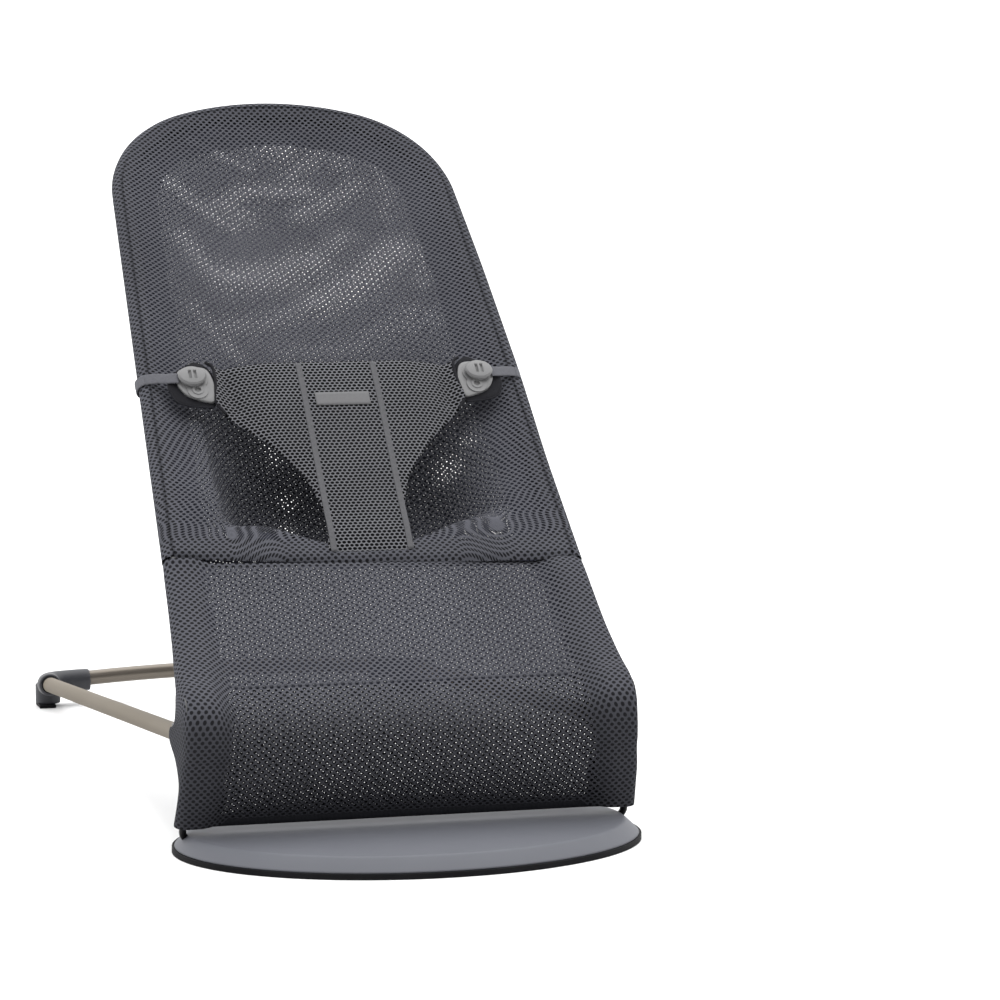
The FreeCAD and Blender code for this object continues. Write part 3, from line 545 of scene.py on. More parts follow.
# A darker copy of the lining for below the hinge, a dark sheet that stands for the shade there: painted
# shade.
SHADED_LOWER_LINING = mesh_cloth("painted_shade_lining_mesh", (0.004, 0.004, 0.005), (0.02, 0.02, 0.025),
                          2.9, 1.9, 0.24, 0.46)
DARK_TAPE = tape_cloth("dark_tab", (0.008, 0.008, 0.01), (0.024, 0.024, 0.028))
RIBBON_TAPE = tape_cloth("harness_ribbon_tape", (0.05, 0.05, 0.054), (0.17, 0.17, 0.18), 0.8)


def finish_piece(piece, body, slot, nodes=(), material=None):
    """Gives a piece its material, the slot's unless one is given, and its body, and hides the CAD nodes that
    it stands for.
    """
    piece.data.materials.clear()
    piece.data.materials.append(material or MATERIALS[slot])
    if nodes:
        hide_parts(*nodes)
    if body:
        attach(piece, body)
    return piece


# ---------------------------------------------------------------- backrest and seat
def patch_span():
    """Lengths along the rim from the apex: to the upper corners, and to the lower left and right ones."""
    corner = RIM_LENGTH - RAIL_RUN - 0.45 * CORNER_LENGTH
    low = RIM_LENGTH - (CREASE + np.array([CREASE_SKEW, -CREASE_SKEW])) / cos(TAPER)
    return corner, low


def patch_points(rows, columns):
    """(across, run) of a grid that fills the rim from the crease to the apex."""
    corner, low = patch_span()
    u = np.linspace(0, 1, columns)[None, :, None]
    v = np.linspace(0, 1, rows)[:, None, None]
    left = rim(-(low[0] + (corner - low[0]) * v[:, 0, 0]))[0][:, None, :]
    right = rim(low[1] + (corner - low[1]) * v[:, 0, 0])[0][:, None, :]
    top = rim(corner * (2 * u[0, :, 0] - 1))[0][None, :, :]
    bottom = left[:1] * (1 - u) + right[:1] * u
    corners = ((1 - u) * (1 - v) * left[:1] + u * (1 - v) * right[:1]
               + (1 - u) * v * left[-1:] + u * v * right[-1:])
    return (1 - v) * bottom + v * top + (1 - u) * left + u * right - corners


def patch_border(rows, columns):
    """Indices of a patch's left, top and right edge, and the length along the rim from the apex at each."""
    corner, low = patch_span()
    left = np.arange(rows) * columns
    top = (rows - 1) * columns + np.arange(1, columns - 1)
    right = left[::-1] + columns - 1
    share = np.linspace(0, 1, rows)
    around = np.concatenate([-(low[0] + (corner - low[0]) * share),
                             corner * (2 * np.linspace(0, 1, columns)[1:-1] - 1),
                             (low[1] + (corner - low[1]) * share)[::-1]])
    return np.concatenate([left, top, right]), around


def cover_weave(across, run):
    """Weave coordinates of the cover: its flat place, with the pocket's slopes unrolled."""
    step = 2.0
    xs = np.arange(-200, 200 + step, step)
    ss = np.arange(120, 720 + step, step)
    gx, gs = np.meshgrid(xs, ss)
    height = -POCKET_DEPTH * pocket(gx, gs)
    slope_s, slope_x = np.gradient(height, step)
    stretch_x = np.sqrt(1 + slope_x ** 2)
    stretch_s = np.sqrt(1 + slope_s ** 2)
    middle = len(xs) // 2
    sum_x = np.cumsum(stretch_x, axis=1) * step
    sum_x = sum_x - sum_x[:, middle:middle + 1]
    sum_s = np.cumsum(stretch_s[::-1], axis=0)[::-1] * step
    sum_s = ss[-1] - sum_s
    column = np.clip((across - xs[0]) / step, 0, len(xs) - 1.001)
    row = np.clip((run - ss[0]) / step, 0, len(ss) - 1.001)
    i, j = row.astype(int), column.astype(int)
    a, b = row - i, column - j

    def sample(table):
        low = table[i, j] * (1 - b) + table[i, j + 1] * b
        high = table[i + 1, j] * (1 - b) + table[i + 1, j + 1] * b
        return low * (1 - a) + high * a

    return np.stack([sample(sum_x), sample(sum_s)], axis=-1)


def rim_wrap(indices, around, sections, flat_weave, first):
    """Rings of points round the rim, outward and out offsets by section, joined to a patch's border."""
    place, outward = rim(around)
    slack = 3.0 * smooth(around, 150, 330) * (1 - smooth(around, 420, 560))
    points = []
    weave = []
    length = 0.0
    before = (0.0, sections[0][1])
    for away, height in sections[1:]:
        length += sqrt((away - before[0]) ** 2 + (height - before[1]) ** 2)
        before = (away, height)
        ring = place + outward * (away + slack * np.clip(away / SLEEVE, 0, 1))[:, None]
        points.append(seat_points(ring[:, 0], ring[:, 1], np.full(len(ring), height)))
        weave.append(flat_weave[indices] + outward * length)
    count = len(indices)
    rings = [indices] + [first + k * count + np.arange(count) for k in range(len(points))]
    faces = []
    for inner, outer in zip(rings, rings[1:]):
        for k in range(count - 1):
            faces.append((inner[k], outer[k], outer[k + 1], inner[k + 1]))
    return np.concatenate(points), np.concatenate(weave), faces


def backrest_cover():
    """The cover's front layer, from the crease over the pocket and backrest and round the rail and hoop."""
    rows, columns = 190, 112
    flat = patch_points(rows, columns).reshape(-1, 2)
    across, run = flat[:, 0], flat[:, 1]
    points = seat_points(across, run, cover_out(across, run))
    weave = cover_weave(across, run)
    indices, around = patch_border(rows, columns)
    angles = np.radians([0, 22, 45, 68, 90, 112, 135, 158, 180])
    sections = [(SLEEVE * sin(angle), SLEEVE * cos(angle)) for angle in angles] + [(-16, -9.0), (-34, -10.5)]
    extra, extra_weave, extra_faces = rim_wrap(indices, around, sections, weave, len(points))
    faces = grid_faces(rows, columns) + extra_faces
    border = (half_width(run) - np.abs(across) < 9) | (run < crease_run(across) + 22)
    border = border | (dish(across, run) < 0.1)
    double = np.concatenate([border, np.ones(len(extra), bool)])
    # Painted light: the yarn on the pocket's left side is lightened, as much as the pocket is deep.
    painted_shading = np.concatenate([-pocket(across, run) * (across < 0), np.zeros(len(extra))])
    piece = mesh_object("backrest_cover", np.vstack([points, extra]), faces, np.vstack([weave, extra_weave]),
                        {"double": double, "painted_shading": painted_shading})
    finish_piece(piece, "seat", "mesh_fabric",
                 ("back_panel", "hoop_sleeve", "rail_sleeve_left", "rail_sleeve_right", "front_piping"))


def backrest_lining():
    """The cover's rear layer, a little behind the front one."""
    rows, columns = 120, 76
    flat = patch_points(rows, columns).reshape(-1, 2)
    across, run = flat[:, 0], flat[:, 1]
    gap = 5.5 + 1.2 * ripple(across, run, 3, 90)
    edge = np.clip(1 - dish(across, run) / 0.25, 0, 1)
    height = cover_out(across, run) - gap - (2 * SLEEVE + 1.0 - gap) * edge ** 2
    points = seat_points(across, run, height)
    turn = np.array([[cos(LINING_TURN), sin(LINING_TURN)], [-sin(LINING_TURN), cos(LINING_TURN)]])
    weave = cover_weave(across, run) @ turn
    piece = grid_object("backrest_lining", points.reshape(rows, columns, 3), weave.reshape(rows, columns, 2),
                        {"openness": openness(across, run)})
    finish_piece(piece, "seat", "mesh_fabric", ("seat_pocket",), LINING_MESH)


# ---------------------------------------------------------------- leg panel
def seat_station(run, out, reach, back=0.0, close=1.0, outward=SLEEVE):
    """A leg panel station on the rails: side centre, front direction, reaches, and the middle's place."""
    side = PIVOT + run * UP_BACK
    middle = side + out * OUT_OF_BACK
    return [RAIL_HALF - run * tan(TAPER), side[1], side[2], OUT_OF_BACK[1], OUT_OF_BACK[2],
            outward, reach, back, close, middle[1], middle[2]]


# Each station: side centre x, y, z; front direction y, z; outward and forward reach; run back; how far it
# closes behind; middle y, z.
UPPER_STATIONS = [
    seat_station(CREASE - 1, 1.0, SLEEVE),
    seat_station(CREASE - 8, 1.0, SLEEVE),
    seat_station(120, 0.0, SLEEVE),
    seat_station(80, -1.0, SLEEVE, 0.0, 1.0, SLEEVE + 0.8),
    seat_station(50, -1.0, SLEEVE + 2.5, 0.0, 0.95, SLEEVE + 2),
    seat_station(28, -1.0, SLEEVE + 6, 0.0, 0.8, SLEEVE + 2.7),
]
LOWER_STATIONS = [
    seat_station(30, -1.2, SLEEVE + 5.8, 0.0, 0.8, SLEEVE + 2.6),
    [177.3, -271.5, 121.5, -0.80, 0.60, 11.2, 19.6, 12.0, 0.2, -272.8, 117.5],
    [177.6, -281.0, 112.0, -0.93, 0.37, 11.2, 21.8, 26.0, 0.12, -283.5, 106.0],
    [177.6, -284.0, 100.0, -1.0, 0.08, 11.2, 21.8, 42.0, 0.12, -290.0, 96.0],
    [177.8, -284.5, 86.0, -1.0, 0.0, 11.2, 21.4, 44.0, 0.12, -292.0, 83.0],
    [179.0, -285.5, 74.0, -1.0, 0.0, 10.6, 16.8, 18.0, 0.5, -291.0, 71.0],
    [181.8, -288.0, 58.0, -1.0, 0.0, 9.0, 10.4, 2.0, 1.0, -288.5, 56.0],
    [183.4, -283.5, 41.0, -1.0, -0.1, 8.4, 8.4, 0.0, 1.0, -281.5, 40.0],
    [184.8, -276.5, 23.0, -1.0, -0.2, 8.2, 8.2, 0.0, 1.0, -272.0, 22.5],
]


def leg_section(station, side, seam, skew=0.0):
    """Half of one row of the leg panel, from the middle round the side to its rear."""
    x, y, z, front_y, front_z, outward, forward, back, close, middle_y, middle_z = station
    size = sqrt(front_y ** 2 + front_z ** 2)
    front = np.array([0.0, front_y / size, front_z / size])
    centre = np.array([x, y, z])
    middle = np.array([0.0, middle_y, middle_z])
    across = np.concatenate([np.linspace(0, seam - 14, 20), np.linspace(seam - 14, x, 12)[1:]])
    share = smooth(across, seam - 14, x - 11)
    side_front = centre * (0, 1, 1) + front * forward
    points = np.outer(across, ACROSS) + middle + np.outer(share, side_front - middle)
    squareness = 2 / (2 + 1.6 * np.clip(forward - SLEEVE, 0, 12) / 12)
    turns = np.linspace(0, pi / 2, 8)[1:]
    corner = centre + np.outer(np.sin(turns) ** squareness, ACROSS) * outward
    corner = corner + np.outer(np.cos(turns) ** squareness, front) * forward
    run_back = corner[-1] - np.outer(np.linspace(0.2, 1, 5), front) * (back + 0.5)
    turns = np.linspace(0, pi / 2 * close, 6)[1:]
    rear = run_back[-1] - np.outer(1 - np.cos(turns), ACROSS) * outward
    rear = rear - np.outer(np.sin(turns), front) * SLEEVE
    strip = rear[-1] - np.outer([0.5, 1.0], ACROSS) * (1.5 + 28 * smooth(close, 0.7, 1))
    points = np.vstack([points, corner, run_back, rear, strip])
    points[:, 2] -= skew * side * points[:, 0] / RAIL_HALF
    points[:, 0] *= side
    return points


def leg_rows(stations, count, skew=0.0):
    """A leg panel's rows: points [rows, columns, 3], weave coordinates and point shades."""
    rows = []
    table = through(stations, count)
    for index, station in enumerate(table):
        seam = PANEL_SEAM + 10 * smooth(HINGE_HEIGHT - station[2], 0, 90)
        tilt = skew * smooth(count - 1 - index, 0.6 * count, count)
        left = leg_section(station, -1, seam, tilt)
        right = leg_section(station, 1, seam, tilt)
        rows.append(np.vstack([left[::-1], right[1:]]))
    points = np.array(rows)
    step_across = np.linalg.norm(np.diff(points, axis=1), axis=2)
    along = np.concatenate([np.zeros((count, 1)), np.cumsum(step_across, axis=1)], axis=1)
    middle = points.shape[1] // 2
    along -= along[:, middle:middle + 1]
    step_down = np.linalg.norm(np.diff(points[:, middle], axis=0), axis=1)
    down = -np.concatenate([[0], np.cumsum(step_down)])
    weave = np.stack([along, np.broadcast_to(down[:, None], along.shape)], axis=-1)
    seams = PANEL_SEAM + 10 * smooth(HINGE_HEIGHT - table[:, 2], 0, 90)
    double = np.abs(points[:, :, 0]) > seams[:, None]
    # Painted shade: the yarn is darker towards the bottom of the panel, below 128 mm up, where it turns away
    # from the overhead light.
    painted_shading = 1 - smooth(points[:, :, 2], 88, 128)
    return points, weave, {"double": double, "painted_shading": painted_shading}


def leg_panel_pieces():
    """Leg panel in two pieces that meet above the hinge: one on the seat, one that bends down to the base."""
    points, weave, shades = leg_rows(UPPER_STATIONS, 44, CREASE_SKEW * sin(SLOPE))
    shades["double"][:6] = True
    upper = grid_object("leg_panel_cover", points, weave, shades)
    finish_piece(upper, "seat", "mesh_fabric", ("leg_panel",))

    points, weave, shades = leg_rows(LOWER_STATIONS, 52)
    shades["double"][-4:] = True
    lower = grid_object("leg_panel_lower", points, weave, shades)
    finish_piece(lower, None, "mesh_fabric", ("hem_panel", "wire_sleeve_left", "wire_sleeve_right"))
    bend_to_seat(lower)


def bend_to_seat(piece):
    """Bakes the piece's place into its mesh; the piece is attached to no body."""
    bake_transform(piece)


def leg_linings():
    """The second layer behind the leg panel above the hinge, and below it a darker sheet that stands for the
    shade behind the panel: painted shade.
    """
    upper = [seat_station(CREASE + 9, -2.0, SLEEVE)] + UPPER_STATIONS
    count = 34
    gap = 3.0
    for name, stations, nodes in (("leg_lining_upper", upper, ("panel_lining",)),
                                  ("leg_lower_shade_sheet", LOWER_STATIONS, ())):
        table = through(stations, count)
        halves = PANEL_SEAM + 6 + 10 * smooth(HINGE_HEIGHT - table[:, 2], 0, 90)
        points = np.zeros((count, 60, 3))
        points[:, :, 0] = halves[:, None] * np.linspace(-1, 1, 60)
        slope = directions(table[:, 9:11])
        behind = np.stack([slope[:, 1], -slope[:, 0]], axis=1)
        behind *= -np.sign(behind[:, :1])
        points[:, :, 1] = table[:, 9:10] - behind[:, :1] * gap
        points[:, :, 2] = table[:, 10:11] - behind[:, 1:] * gap
        down = -np.concatenate([[0], np.cumsum(np.linalg.norm(np.diff(table[:, 9:11], axis=0), axis=1))])
        weave = np.stack([points[:, :, 0] * cos(LINING_TURN) + down[:, None] * sin(LINING_TURN),
                          down[:, None] * cos(LINING_TURN) - points[:, :, 0] * sin(LINING_TURN)], axis=-1)
        lit = near_line(points[:, :, 0], points[:, :, 2], [(-60, 60), (20, 66), (130, 78)], 34)
        opened = 0.3 + 0.3 * lit * (points[:, :, 2] < HINGE_HEIGHT)
        piece = grid_object(name, points, weave, {"openness": np.clip(opened, 0, 1)})
        if nodes:
            finish_piece(piece, "seat", "mesh_fabric", nodes, LINING_MESH)
        else:
            # The lower sheet takes the dark copy: painted shade.
            finish_piece(piece, None, "mesh_fabric", (), SHADED_LOWER_LINING)
            bend_to_seat(piece)


def hem_strip():
    """The folded hem along the lower edge of the leg panel."""
    across = np.linspace(-184, 184, 90)
    around = np.linspace(0, 2 * pi, 13)[:-1]
    y = -272.5 + 1.9 * np.cos(around)
    z = 25.0 + 4.6 * np.sin(around)
    points = np.zeros((len(across), len(around), 3))
    points[:, :, 0] = across[:, None]
    points[:, :, 1] = y - 3.5 * smooth(np.abs(across), 150, 184)[:, None]
    points[:, :, 2] = z
    weave = np.stack([np.broadcast_to(across[:, None], points.shape[:2]),
                      np.broadcast_to(around * 4.6, points.shape[:2])], axis=-1)
    piece = grid_object("hem_strip", points, weave, wrap=True, capped=True)
    finish_piece(piece, "base", "binding_tape", ("hem_band",))


# ---------------------------------------------------------------- harness
# The harness's right edge from the crotch to its top: half width, up.
HARNESS_OUTLINE = [(38.5, 0), (35, 22), (35.5, 43), (44, 73), (56, 93), (74, 116), (96, 139), (107, 151),
                   (110, 160), (109, 168), (107.5, 174), (107, 186), (107, 199)]


def harness_half(up):
    """Half width of the harness at a height up it."""
    outline = through(HARNESS_OUTLINE, 200)
    return np.interp(up, outline[:, 1], outline[:, 0])


def harness():
    """The T-shaped front: a closed slab of spacer mesh, crowned, with folds at its shoulders."""
    ups = np.linspace(0, HARNESS_TOP, 92)
    half_up = HARNESS_TOP / 2
    rows = []
    weave = []
    for up in ups:
        across, height = slab_loop(harness_half(up), HARNESS_THICKNESS, 44)
        end = sqrt(max(1 - (abs(up - half_up) / half_up) ** 40, 0.06))
        middle = harness_out(across, np.full_like(across, up)) - HARNESS_THICKNESS / 2
        rows.append(harness_points(across, np.full_like(across, up), middle + height * end))
        weave.append(np.stack([across, np.full_like(across, up)], axis=-1))
    piece = grid_object("harness_front", np.array(rows), np.array(weave), wrap=True, capped=True)
    finish_piece(piece, "seat", "harness_mesh", ("harness_panel",))


def strip_on_harness(name, centre, half, low, high, thickness, lift):
    """A flat strip that follows the harness's top face."""
    ups = np.linspace(low, high, max(6, int((high - low) / 2.5)))
    rows = []
    weave = []
    for up in ups:
        across, height = slab_loop(half, thickness, 10)
        top = harness_out(across + centre, np.full_like(across, up))
        top = top + lift + thickness / 2 + height
        rows.append(harness_points(across + centre, np.full_like(across, up), top))
        weave.append(np.stack([across, np.full_like(across, up)], axis=-1))
    return grid_object(name, np.array(rows), np.array(weave), wrap=True, capped=True)


def harness_trim():
    """Two ribbons sewn down the harness and the blank label between them."""
    for side, word in ((-1, "left"), (1, "right")):
        ribbon = strip_on_harness(f"ribbon_{word}", side * 33.0, 2.6, 1, 196.5, 0.8, 0.0)
        finish_piece(ribbon, "seat", "binding_tape", (f"harness_ribbon_{word}",), RIBBON_TAPE)
    label = strip_on_harness("label_blank", 0.0, 24.0, 150, 163.5, 0.8, 0.3)
    finish_piece(label, "seat", "label_fabric", ("harness_label",))


def side_straps():
    """Elastic straps from the buttons round the side rails."""
    run = HARNESS_BASE + BUTTON_UP * cos(HARNESS_TILT) - 6 * sin(HARNESS_TILT)
    climb = 9.0
    rail_x = RAIL_HALF - run * tan(TAPER)
    start = HARNESS_LIFT + BUTTON_UP * sin(HARNESS_TILT) + 6.6
    radius = SLEEVE + 1.4
    for side, word in ((-1, "left"), (1, "right")):
        turns = np.radians(np.linspace(8, 200, 14))
        line = [(139.2, start), (143.0, start - 0.6)]
        line += [(rail_x + radius * sin(turn), radius * cos(turn)) for turn in turns]
        line = through(line, 48)
        slope = directions(line)
        normal = np.stack([-slope[:, 1], slope[:, 0]], axis=1)
        rows = []
        weave = []
        length = 0.0
        for index, (place, away) in enumerate(zip(line, normal)):
            along, height = slab_loop(5.6, 1.3, 8)
            across = place[0] + away[0] * height
            out = place[1] + away[1] * height
            rise = climb * smooth(place[0], 138, 166)
            rows.append(seat_points(side * across, run + rise + along, out))
            weave.append(np.stack([along, np.full_like(along, length)], axis=-1))
            length += float(np.linalg.norm(line[min(index + 1, len(line) - 1)] - place))
        piece = grid_object(f"strap_{word}", np.array(rows), np.array(weave), wrap=True, capped=True)
        finish_piece(piece, None, "elastic_strap", (f"side_strap_{word}",))
        near = seat_points(np.array(side * 141.0), np.array(run), np.array(start)) * MM
        far = seat_points(np.array(side * 156.0), np.array(run), np.array(start)) * MM
        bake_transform(piece)


# Outlines of the right buckle's fabric tab and base plate on the harness: across, up.
TAB_OUTLINE = [(148, 186), (147.5, 174), (142, 164), (130, 159), (112, 157), (107, 170), (107, 190),
               (112, 201), (121, 207), (130, 203), (142, 195)]
BASE_OUTLINE = [(140.5, 187), (139.5, 178), (134, 169), (124, 163.5), (112, 160.5), (108, 168), (109, 185),
                (114, 197), (126, 199), (137, 196)]
# The tab's rolled edge and the dark binding at the harness's end, on the right: across, up, lift.
TAB_EDGE = [(148, 178, 2.2), (143, 164, 2.4), (130, 158, 2.6), (112, 156, 3.0)]
WING_EDGE = [(113, 204, 5.5), (107.5, 198, 6.0), (107, 184, 6.0), (108.5, 170, 6.0), (109.5, 158, 6.0),
             (103, 147, 5.0)]


def closed_outline(points, count):
    """A smooth closed line through some points."""
    points = np.array(points, float)
    looped = np.vstack([points[-2:], points, points[:3]])
    line = through(looped, (len(looped) - 1) * count + 1)
    return line[2 * count:-2 * count - 1]


def harness_plate(name, side, outline, low, high, rounding):
    """A flat rounded plate over the harness plane, from an outline on the right side."""
    line = closed_outline(outline, 8)
    middle = line.mean(axis=0)
    arm = line - middle
    reach = np.linalg.norm(arm, axis=1, keepdims=True)
    levels = [(0.6, low), (0, low + 0.3 * rounding), (0, high - rounding),
              (0.3 * rounding, high - 0.3 * rounding), (rounding, high), (5.0, high), (9.0, high)]
    rows = []
    weave = []
    for inset, lift in levels:
        ring = middle + arm * (1 - inset / reach)
        rows.append(harness_points(side * ring[:, 0], ring[:, 1], np.full(len(ring), lift)))
        weave.append(ring)
    return grid_object(name, np.array(rows), np.array(weave), wrap=True, capped=True)


def cord_on_harness(name, points, radius):
    """A thin round edge through points (across, up, lift) on the harness."""
    rings = tube_along(through(points, 48), radius, 8)
    turns = np.linspace(0, 2 * pi, 9)[:-1]
    weave = np.stack([np.broadcast_to(np.arange(48)[:, None] * 1.0, rings.shape[:2]),
                      np.broadcast_to(turns * radius, rings.shape[:2])], axis=-1)
    return grid_object(name, harness_points(rings[:, :, 0], rings[:, :, 1], rings[:, :, 2]), weave,
                       wrap=True, capped=True)


def buckles():
    """Fabric tab with a rolled edge, sewn-in base plate and dark binding at each end of the harness."""
    for side, word in ((-1, "left"), (1, "right")):
        tab = harness_plate(f"buckle_tab_{word}", side, TAB_OUTLINE, 1.2, 2.8, 0.7)
        finish_piece(tab, "seat", "binding_tape", (), DARK_TAPE)
        base = harness_plate(f"buckle_base_{word}", side, BASE_OUTLINE, 3.0, 5.7, 0.7)
        finish_piece(base, "seat", "buckle_plastic")
        edge = cord_on_harness(f"tab_edge_{word}", np.array(TAB_EDGE) * (side, 1, 1), 0.9)
        finish_piece(edge, "seat", "binding_tape")
        binding = cord_on_harness(f"wing_binding_{word}", np.array(WING_EDGE) * (side, 1, 1), 1.4)
        finish_piece(binding, "seat", "binding_tape", (), DARK_TAPE)


def buttons():
    """Oval push buttons with a softly domed top and two finger slots."""
    steps = np.linspace(-1, 1, 61)
    u, v = np.meshgrid(steps, steps)
    across = u * np.sqrt(1 - v ** 2 / 2)
    up = v * np.sqrt(1 - u ** 2 / 2)
    rim_share = np.clip(np.hypot(across, up), 0, 1)
    height = 0.9 * (1 - rim_share ** 2) - 1.3 * smooth(rim_share, 0.88, 1.0)
    across, up = across * 12.3, up * 10.0
    for slot in (-2.3, 2.3):
        inside = (1 - smooth(np.abs(across - slot), 0.95, 1.3)) * (1 - smooth(np.abs(up), 4.2, 4.7))
        height = height - 2.3 * inside
    for side, word in ((-1, "left"), (1, "right")):
        top = harness_points(side * BUTTON_ACROSS + across, BUTTON_UP + up, 11.6 + height)
        skirt = []
        border = np.concatenate([np.stack([np.zeros(60, int), np.arange(60)], 1),
                                 np.stack([np.arange(60), np.full(60, 60)], 1),
                                 np.stack([np.full(60, 60), np.arange(60, 0, -1)], 1),
                                 np.stack([np.arange(60, 0, -1), np.zeros(60, int)], 1)])
        for inset, lift in ((1.0, 9.6), (0.96, 8.7), (0.9, 8.5)):
            ring_x = side * BUTTON_ACROSS + across[border[:, 0], border[:, 1]] * inset
            ring_u = BUTTON_UP + up[border[:, 0], border[:, 1]] * inset
            skirt.append(harness_points(ring_x, ring_u, np.full(len(border), lift)))
        points = np.vstack([top.reshape(-1, 3)] + skirt)
        faces = grid_faces(61, 61)
        rings = [border[:, 0] * 61 + border[:, 1]]
        rings += [61 * 61 + k * len(border) + np.arange(len(border)) for k in range(3)]
        for outer, inner in zip(rings, rings[1:]):
            for k in range(len(border)):
                after = (k + 1) % len(border)
                faces.append((outer[after], outer[k], inner[k], inner[after]))
        faces.append(tuple(rings[-1][::-1]))
        piece = mesh_object(f"button_{word}_cap", points, faces)
        finish_piece(piece, f"button_{word}", "buckle_plastic")


# ---------------------------------------------------------------- foot plate and elbows
PLATE_Y = -280.0
PLATE_HALF_WIDTH = 194.0
PLATE_HALF_DEPTH = 126.0
# Rings of the plate's upper shell, from under its edge to the flat top: distance in from the edge, height.
PLATE_RINGS = [(5.0, 4.6), (2.2, 4.6), (2.0, 5.1), (3.0, 6.2), (12.2, 14.6), (13.4, 15.5), (15.2, 15.95),
               (18.0, 16.0), (40.0, 16.0), (80.0, 16.0), (120.0, 16.0)]


def foot_plate():
    """The plate's upper shell: a sloping rim with a soft crest round a flat top."""
    around = np.linspace(0, 2 * pi, 181)[:-1]
    points = []
    for inset, height in PLATE_RINGS:
        across = (PLATE_HALF_WIDTH - inset) * np.cos(around)
        along = PLATE_Y + (PLATE_HALF_DEPTH - inset) * np.sin(around)
        points.append(np.stack([across, along, np.full_like(around, height)], axis=-1))
    points = np.array(points)
    rows, columns = points.shape[:2]
    faces = grid_faces(rows, columns, wrap=True)
    faces.append(tuple(range((rows - 1) * columns, rows * columns)))
    piece = mesh_object("foot_plate_top", points.reshape(-1, 3), faces)
    finish_piece(piece, "base", "plate_plastic", ("base_plate",))


def rounded_path(points, radius, count):
    """A path through three points whose middle corner is a bend of some radius."""
    before, corner, after = (np.array(point, float) for point in points)
    arrive = (corner - before) / np.linalg.norm(corner - before)
    leave = (after - corner) / np.linalg.norm(after - corner)
    half = (pi - np.arccos(np.clip(-arrive @ leave, -1, 1))) / 2
    reach = radius * tan(half)
    first, last = corner - arrive * reach, corner + leave * reach
    share = np.linspace(0, 1, count)[:, None]
    bend = first * (1 - share) ** 2 + 2 * corner * share * (1 - share) + last * share ** 2
    return np.vstack([before, (before + first) / 2, bend, (last + after) / 2, after])


LEG_CORNER = np.array([186.0, 395.6, 22.0])


def elbows():
    """Soft-touch elbow covers: a bent sleeve that grows out of a rounded foot, melted into one skin."""
    for side, word in ((-1, "left"), (1, "right")):
        mirror = np.array([side, 1.0, 1.0])
        leg_end = LEG_CORNER + np.array([-0.41, -29.8, 3.2])
        cross_end = LEG_CORNER + np.array([-44.0, 0.0, 1.8])
        path = rounded_path([leg_end, LEG_CORNER, cross_end], 22.0, 15)
        radii = np.full(len(path), 11.0)
        radii[0], radii[-1] = 10.4, 10.6
        sleeve = tube_along(path, radii) * mirror
        piece = grid_object(f"elbow_{word}", sleeve, wrap=True, capped=True)
        build = bmesh.new()
        build.from_mesh(piece.data)
        foot = bmesh.ops.create_cone(build, cap_ends=True, segments=32, radius1=12.2 * MM, radius2=12.4 * MM,
                                     depth=19.0 * MM)["verts"]
        bmesh.ops.translate(build, verts=foot, vec=Vector((side * 183.4, 393.6, 12.5)) * MM)
        bmesh.ops.recalc_face_normals(build, faces=build.faces)
        build.to_mesh(piece.data)
        build.free()
        modifier(piece, "REMESH", mode="VOXEL", voxel_size=0.75 * MM, use_smooth_shade=True)
        modifier(piece, "SMOOTH", factor=0.6, iterations=14)
        finish_piece(piece, "base", "elbow_plastic", (f"elbow_foot_{word}",))

        # A black rubber ring in the sleeve's mouth round the leg tube: painted shade of the recess there.
        mouth = rounded_path([leg_end + np.array([0.02, 1.5, -0.1]), leg_end + np.array([0.0, 0.1, 0.0]),
                              leg_end + np.array([-0.02, -1.6, 0.1])], 0.5, 5)
        mouth_shade_ring = tube_along(mouth, np.interp(np.arange(len(mouth)), [0, len(mouth) - 1], [9.2, 8.2])) * mirror
        mouth_shade_ring = grid_object(f"elbow_mouth_shade_{word}", mouth_shade_ring, wrap=True, capped=True)
        finish_piece(mouth_shade_ring, "base", "pad_rubber")


def soften_nodes():
    """Small rounded edges on the moulded CAD parts."""
    for name, width in (("harness_button_left", 0.9), ("harness_button_right", 0.9),
                        ("keyhole_plate_left", 0.5), ("keyhole_plate_right", 0.5),
                        ("non_slip_pad", 0.8), ("hinge_housing_outer_left", 1.0),
                        ("hinge_housing_outer_right", 1.0), ("hinge_housing_inner_left", 1.0),
                        ("hinge_housing_inner_right", 1.0)):
        modifier(frame["nodes"][name], "BEVEL", width=width * MM, segments=3, limit_method="ANGLE",
                 angle_limit=radians(40))


def frame_materials():
    """Every CAD node that stays gets the material of its slot."""
    for node in frame["nodes"].values():
        slot = node.data.materials[0].name.split(".")[0]
        node.data.materials[0] = LEG_TUBE if node.name.startswith("floor_leg") else MATERIALS[slot]


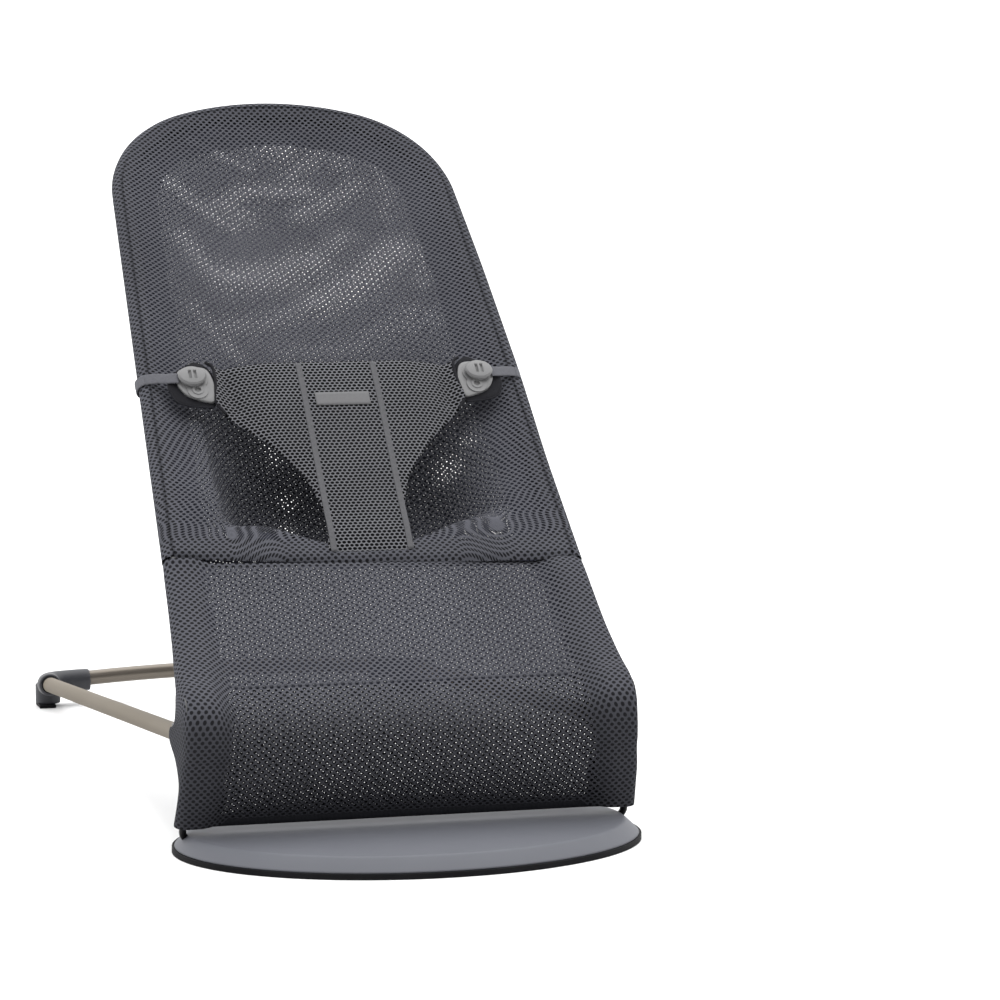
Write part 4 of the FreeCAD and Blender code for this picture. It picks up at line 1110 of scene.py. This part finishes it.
# ---------------------------------------------------------------- stage
def stage():
    """A pale floor under a bright sky that is dimmer in front, and soft light from overhead."""
    floor_mesh = bpy.data.meshes.new("floor")
    build = bmesh.new()
    bmesh.ops.create_grid(build, x_segments=1, y_segments=1, size=40.0)
    build.to_mesh(floor_mesh)
    build.free()
    floor = bpy.data.objects.new("floor", floor_mesh)
    bpy.context.scene.collection.objects.link(floor)
    material, tree, shader, place = new_material("pale_floor", 0.9)
    shade = mix_colour(tree, noise(tree, place, 2.0), (0.79, 0.79, 0.79), (0.82, 0.82, 0.82))
    tree.links.new(shade, shader.inputs["Base Color"])
    floor_mesh.materials.append(material)

    world = bpy.data.worlds.new("studio")
    bpy.context.scene.world = world
    world.use_nodes = True
    tree = world.node_tree
    tree.nodes["Background"].inputs["Color"].default_value = (1, 1, 1, 1)
    direction = add(tree, "ShaderNodeTexCoord").outputs["Generated"]
    behind = add(tree, "ShaderNodeSeparateXYZ", {"Vector": direction}).outputs["Y"]
    tree.links.new(ramp(tree, behind, -0.5, 0.35, 0.3, 1.95), tree.nodes["Background"].inputs["Strength"])
    lamp = bpy.data.lights.new("overhead", "SUN")
    lamp.energy = 3.1
    lamp.angle = radians(90)
    light = bpy.data.objects.new("overhead", lamp)
    light.rotation_euler = Vector((-0.08, 0.1, -0.99)).to_track_quat("-Z", "Y").to_euler()
    bpy.context.scene.collection.objects.link(light)


def camera():
    """A long lens from the front left, a little above the seat."""
    azimuth, elevation, distance = radians(-13.88), radians(6.617), 3.1226
    back = Vector((sin(azimuth) * cos(elevation), -cos(azimuth) * cos(elevation), sin(elevation)))
    data = bpy.data.cameras.new("camera")
    data.sensor_width = 36.0
    data.lens = 128.4
    data.shift_x = 0.1725
    data.shift_y = -0.038
    data.clip_end = 100.0
    made = bpy.data.objects.new("camera", data)
    made.location = Vector((0.0, -0.006, 0.28)) + back * distance
    made.rotation_euler = (-back).to_track_quat("-Z", "Y").to_euler()
    bpy.context.scene.collection.objects.link(made)
    bpy.context.scene.camera = made
    bpy.context.scene.view_settings.view_transform = "Standard"


camera()
stage()
frame_materials()
soften_nodes()
backrest_cover()
backrest_lining()
leg_panel_pieces()
leg_linings()
hem_strip()
harness()
harness_trim()
side_straps()
buckles()
buttons()
foot_plate()
elbows()
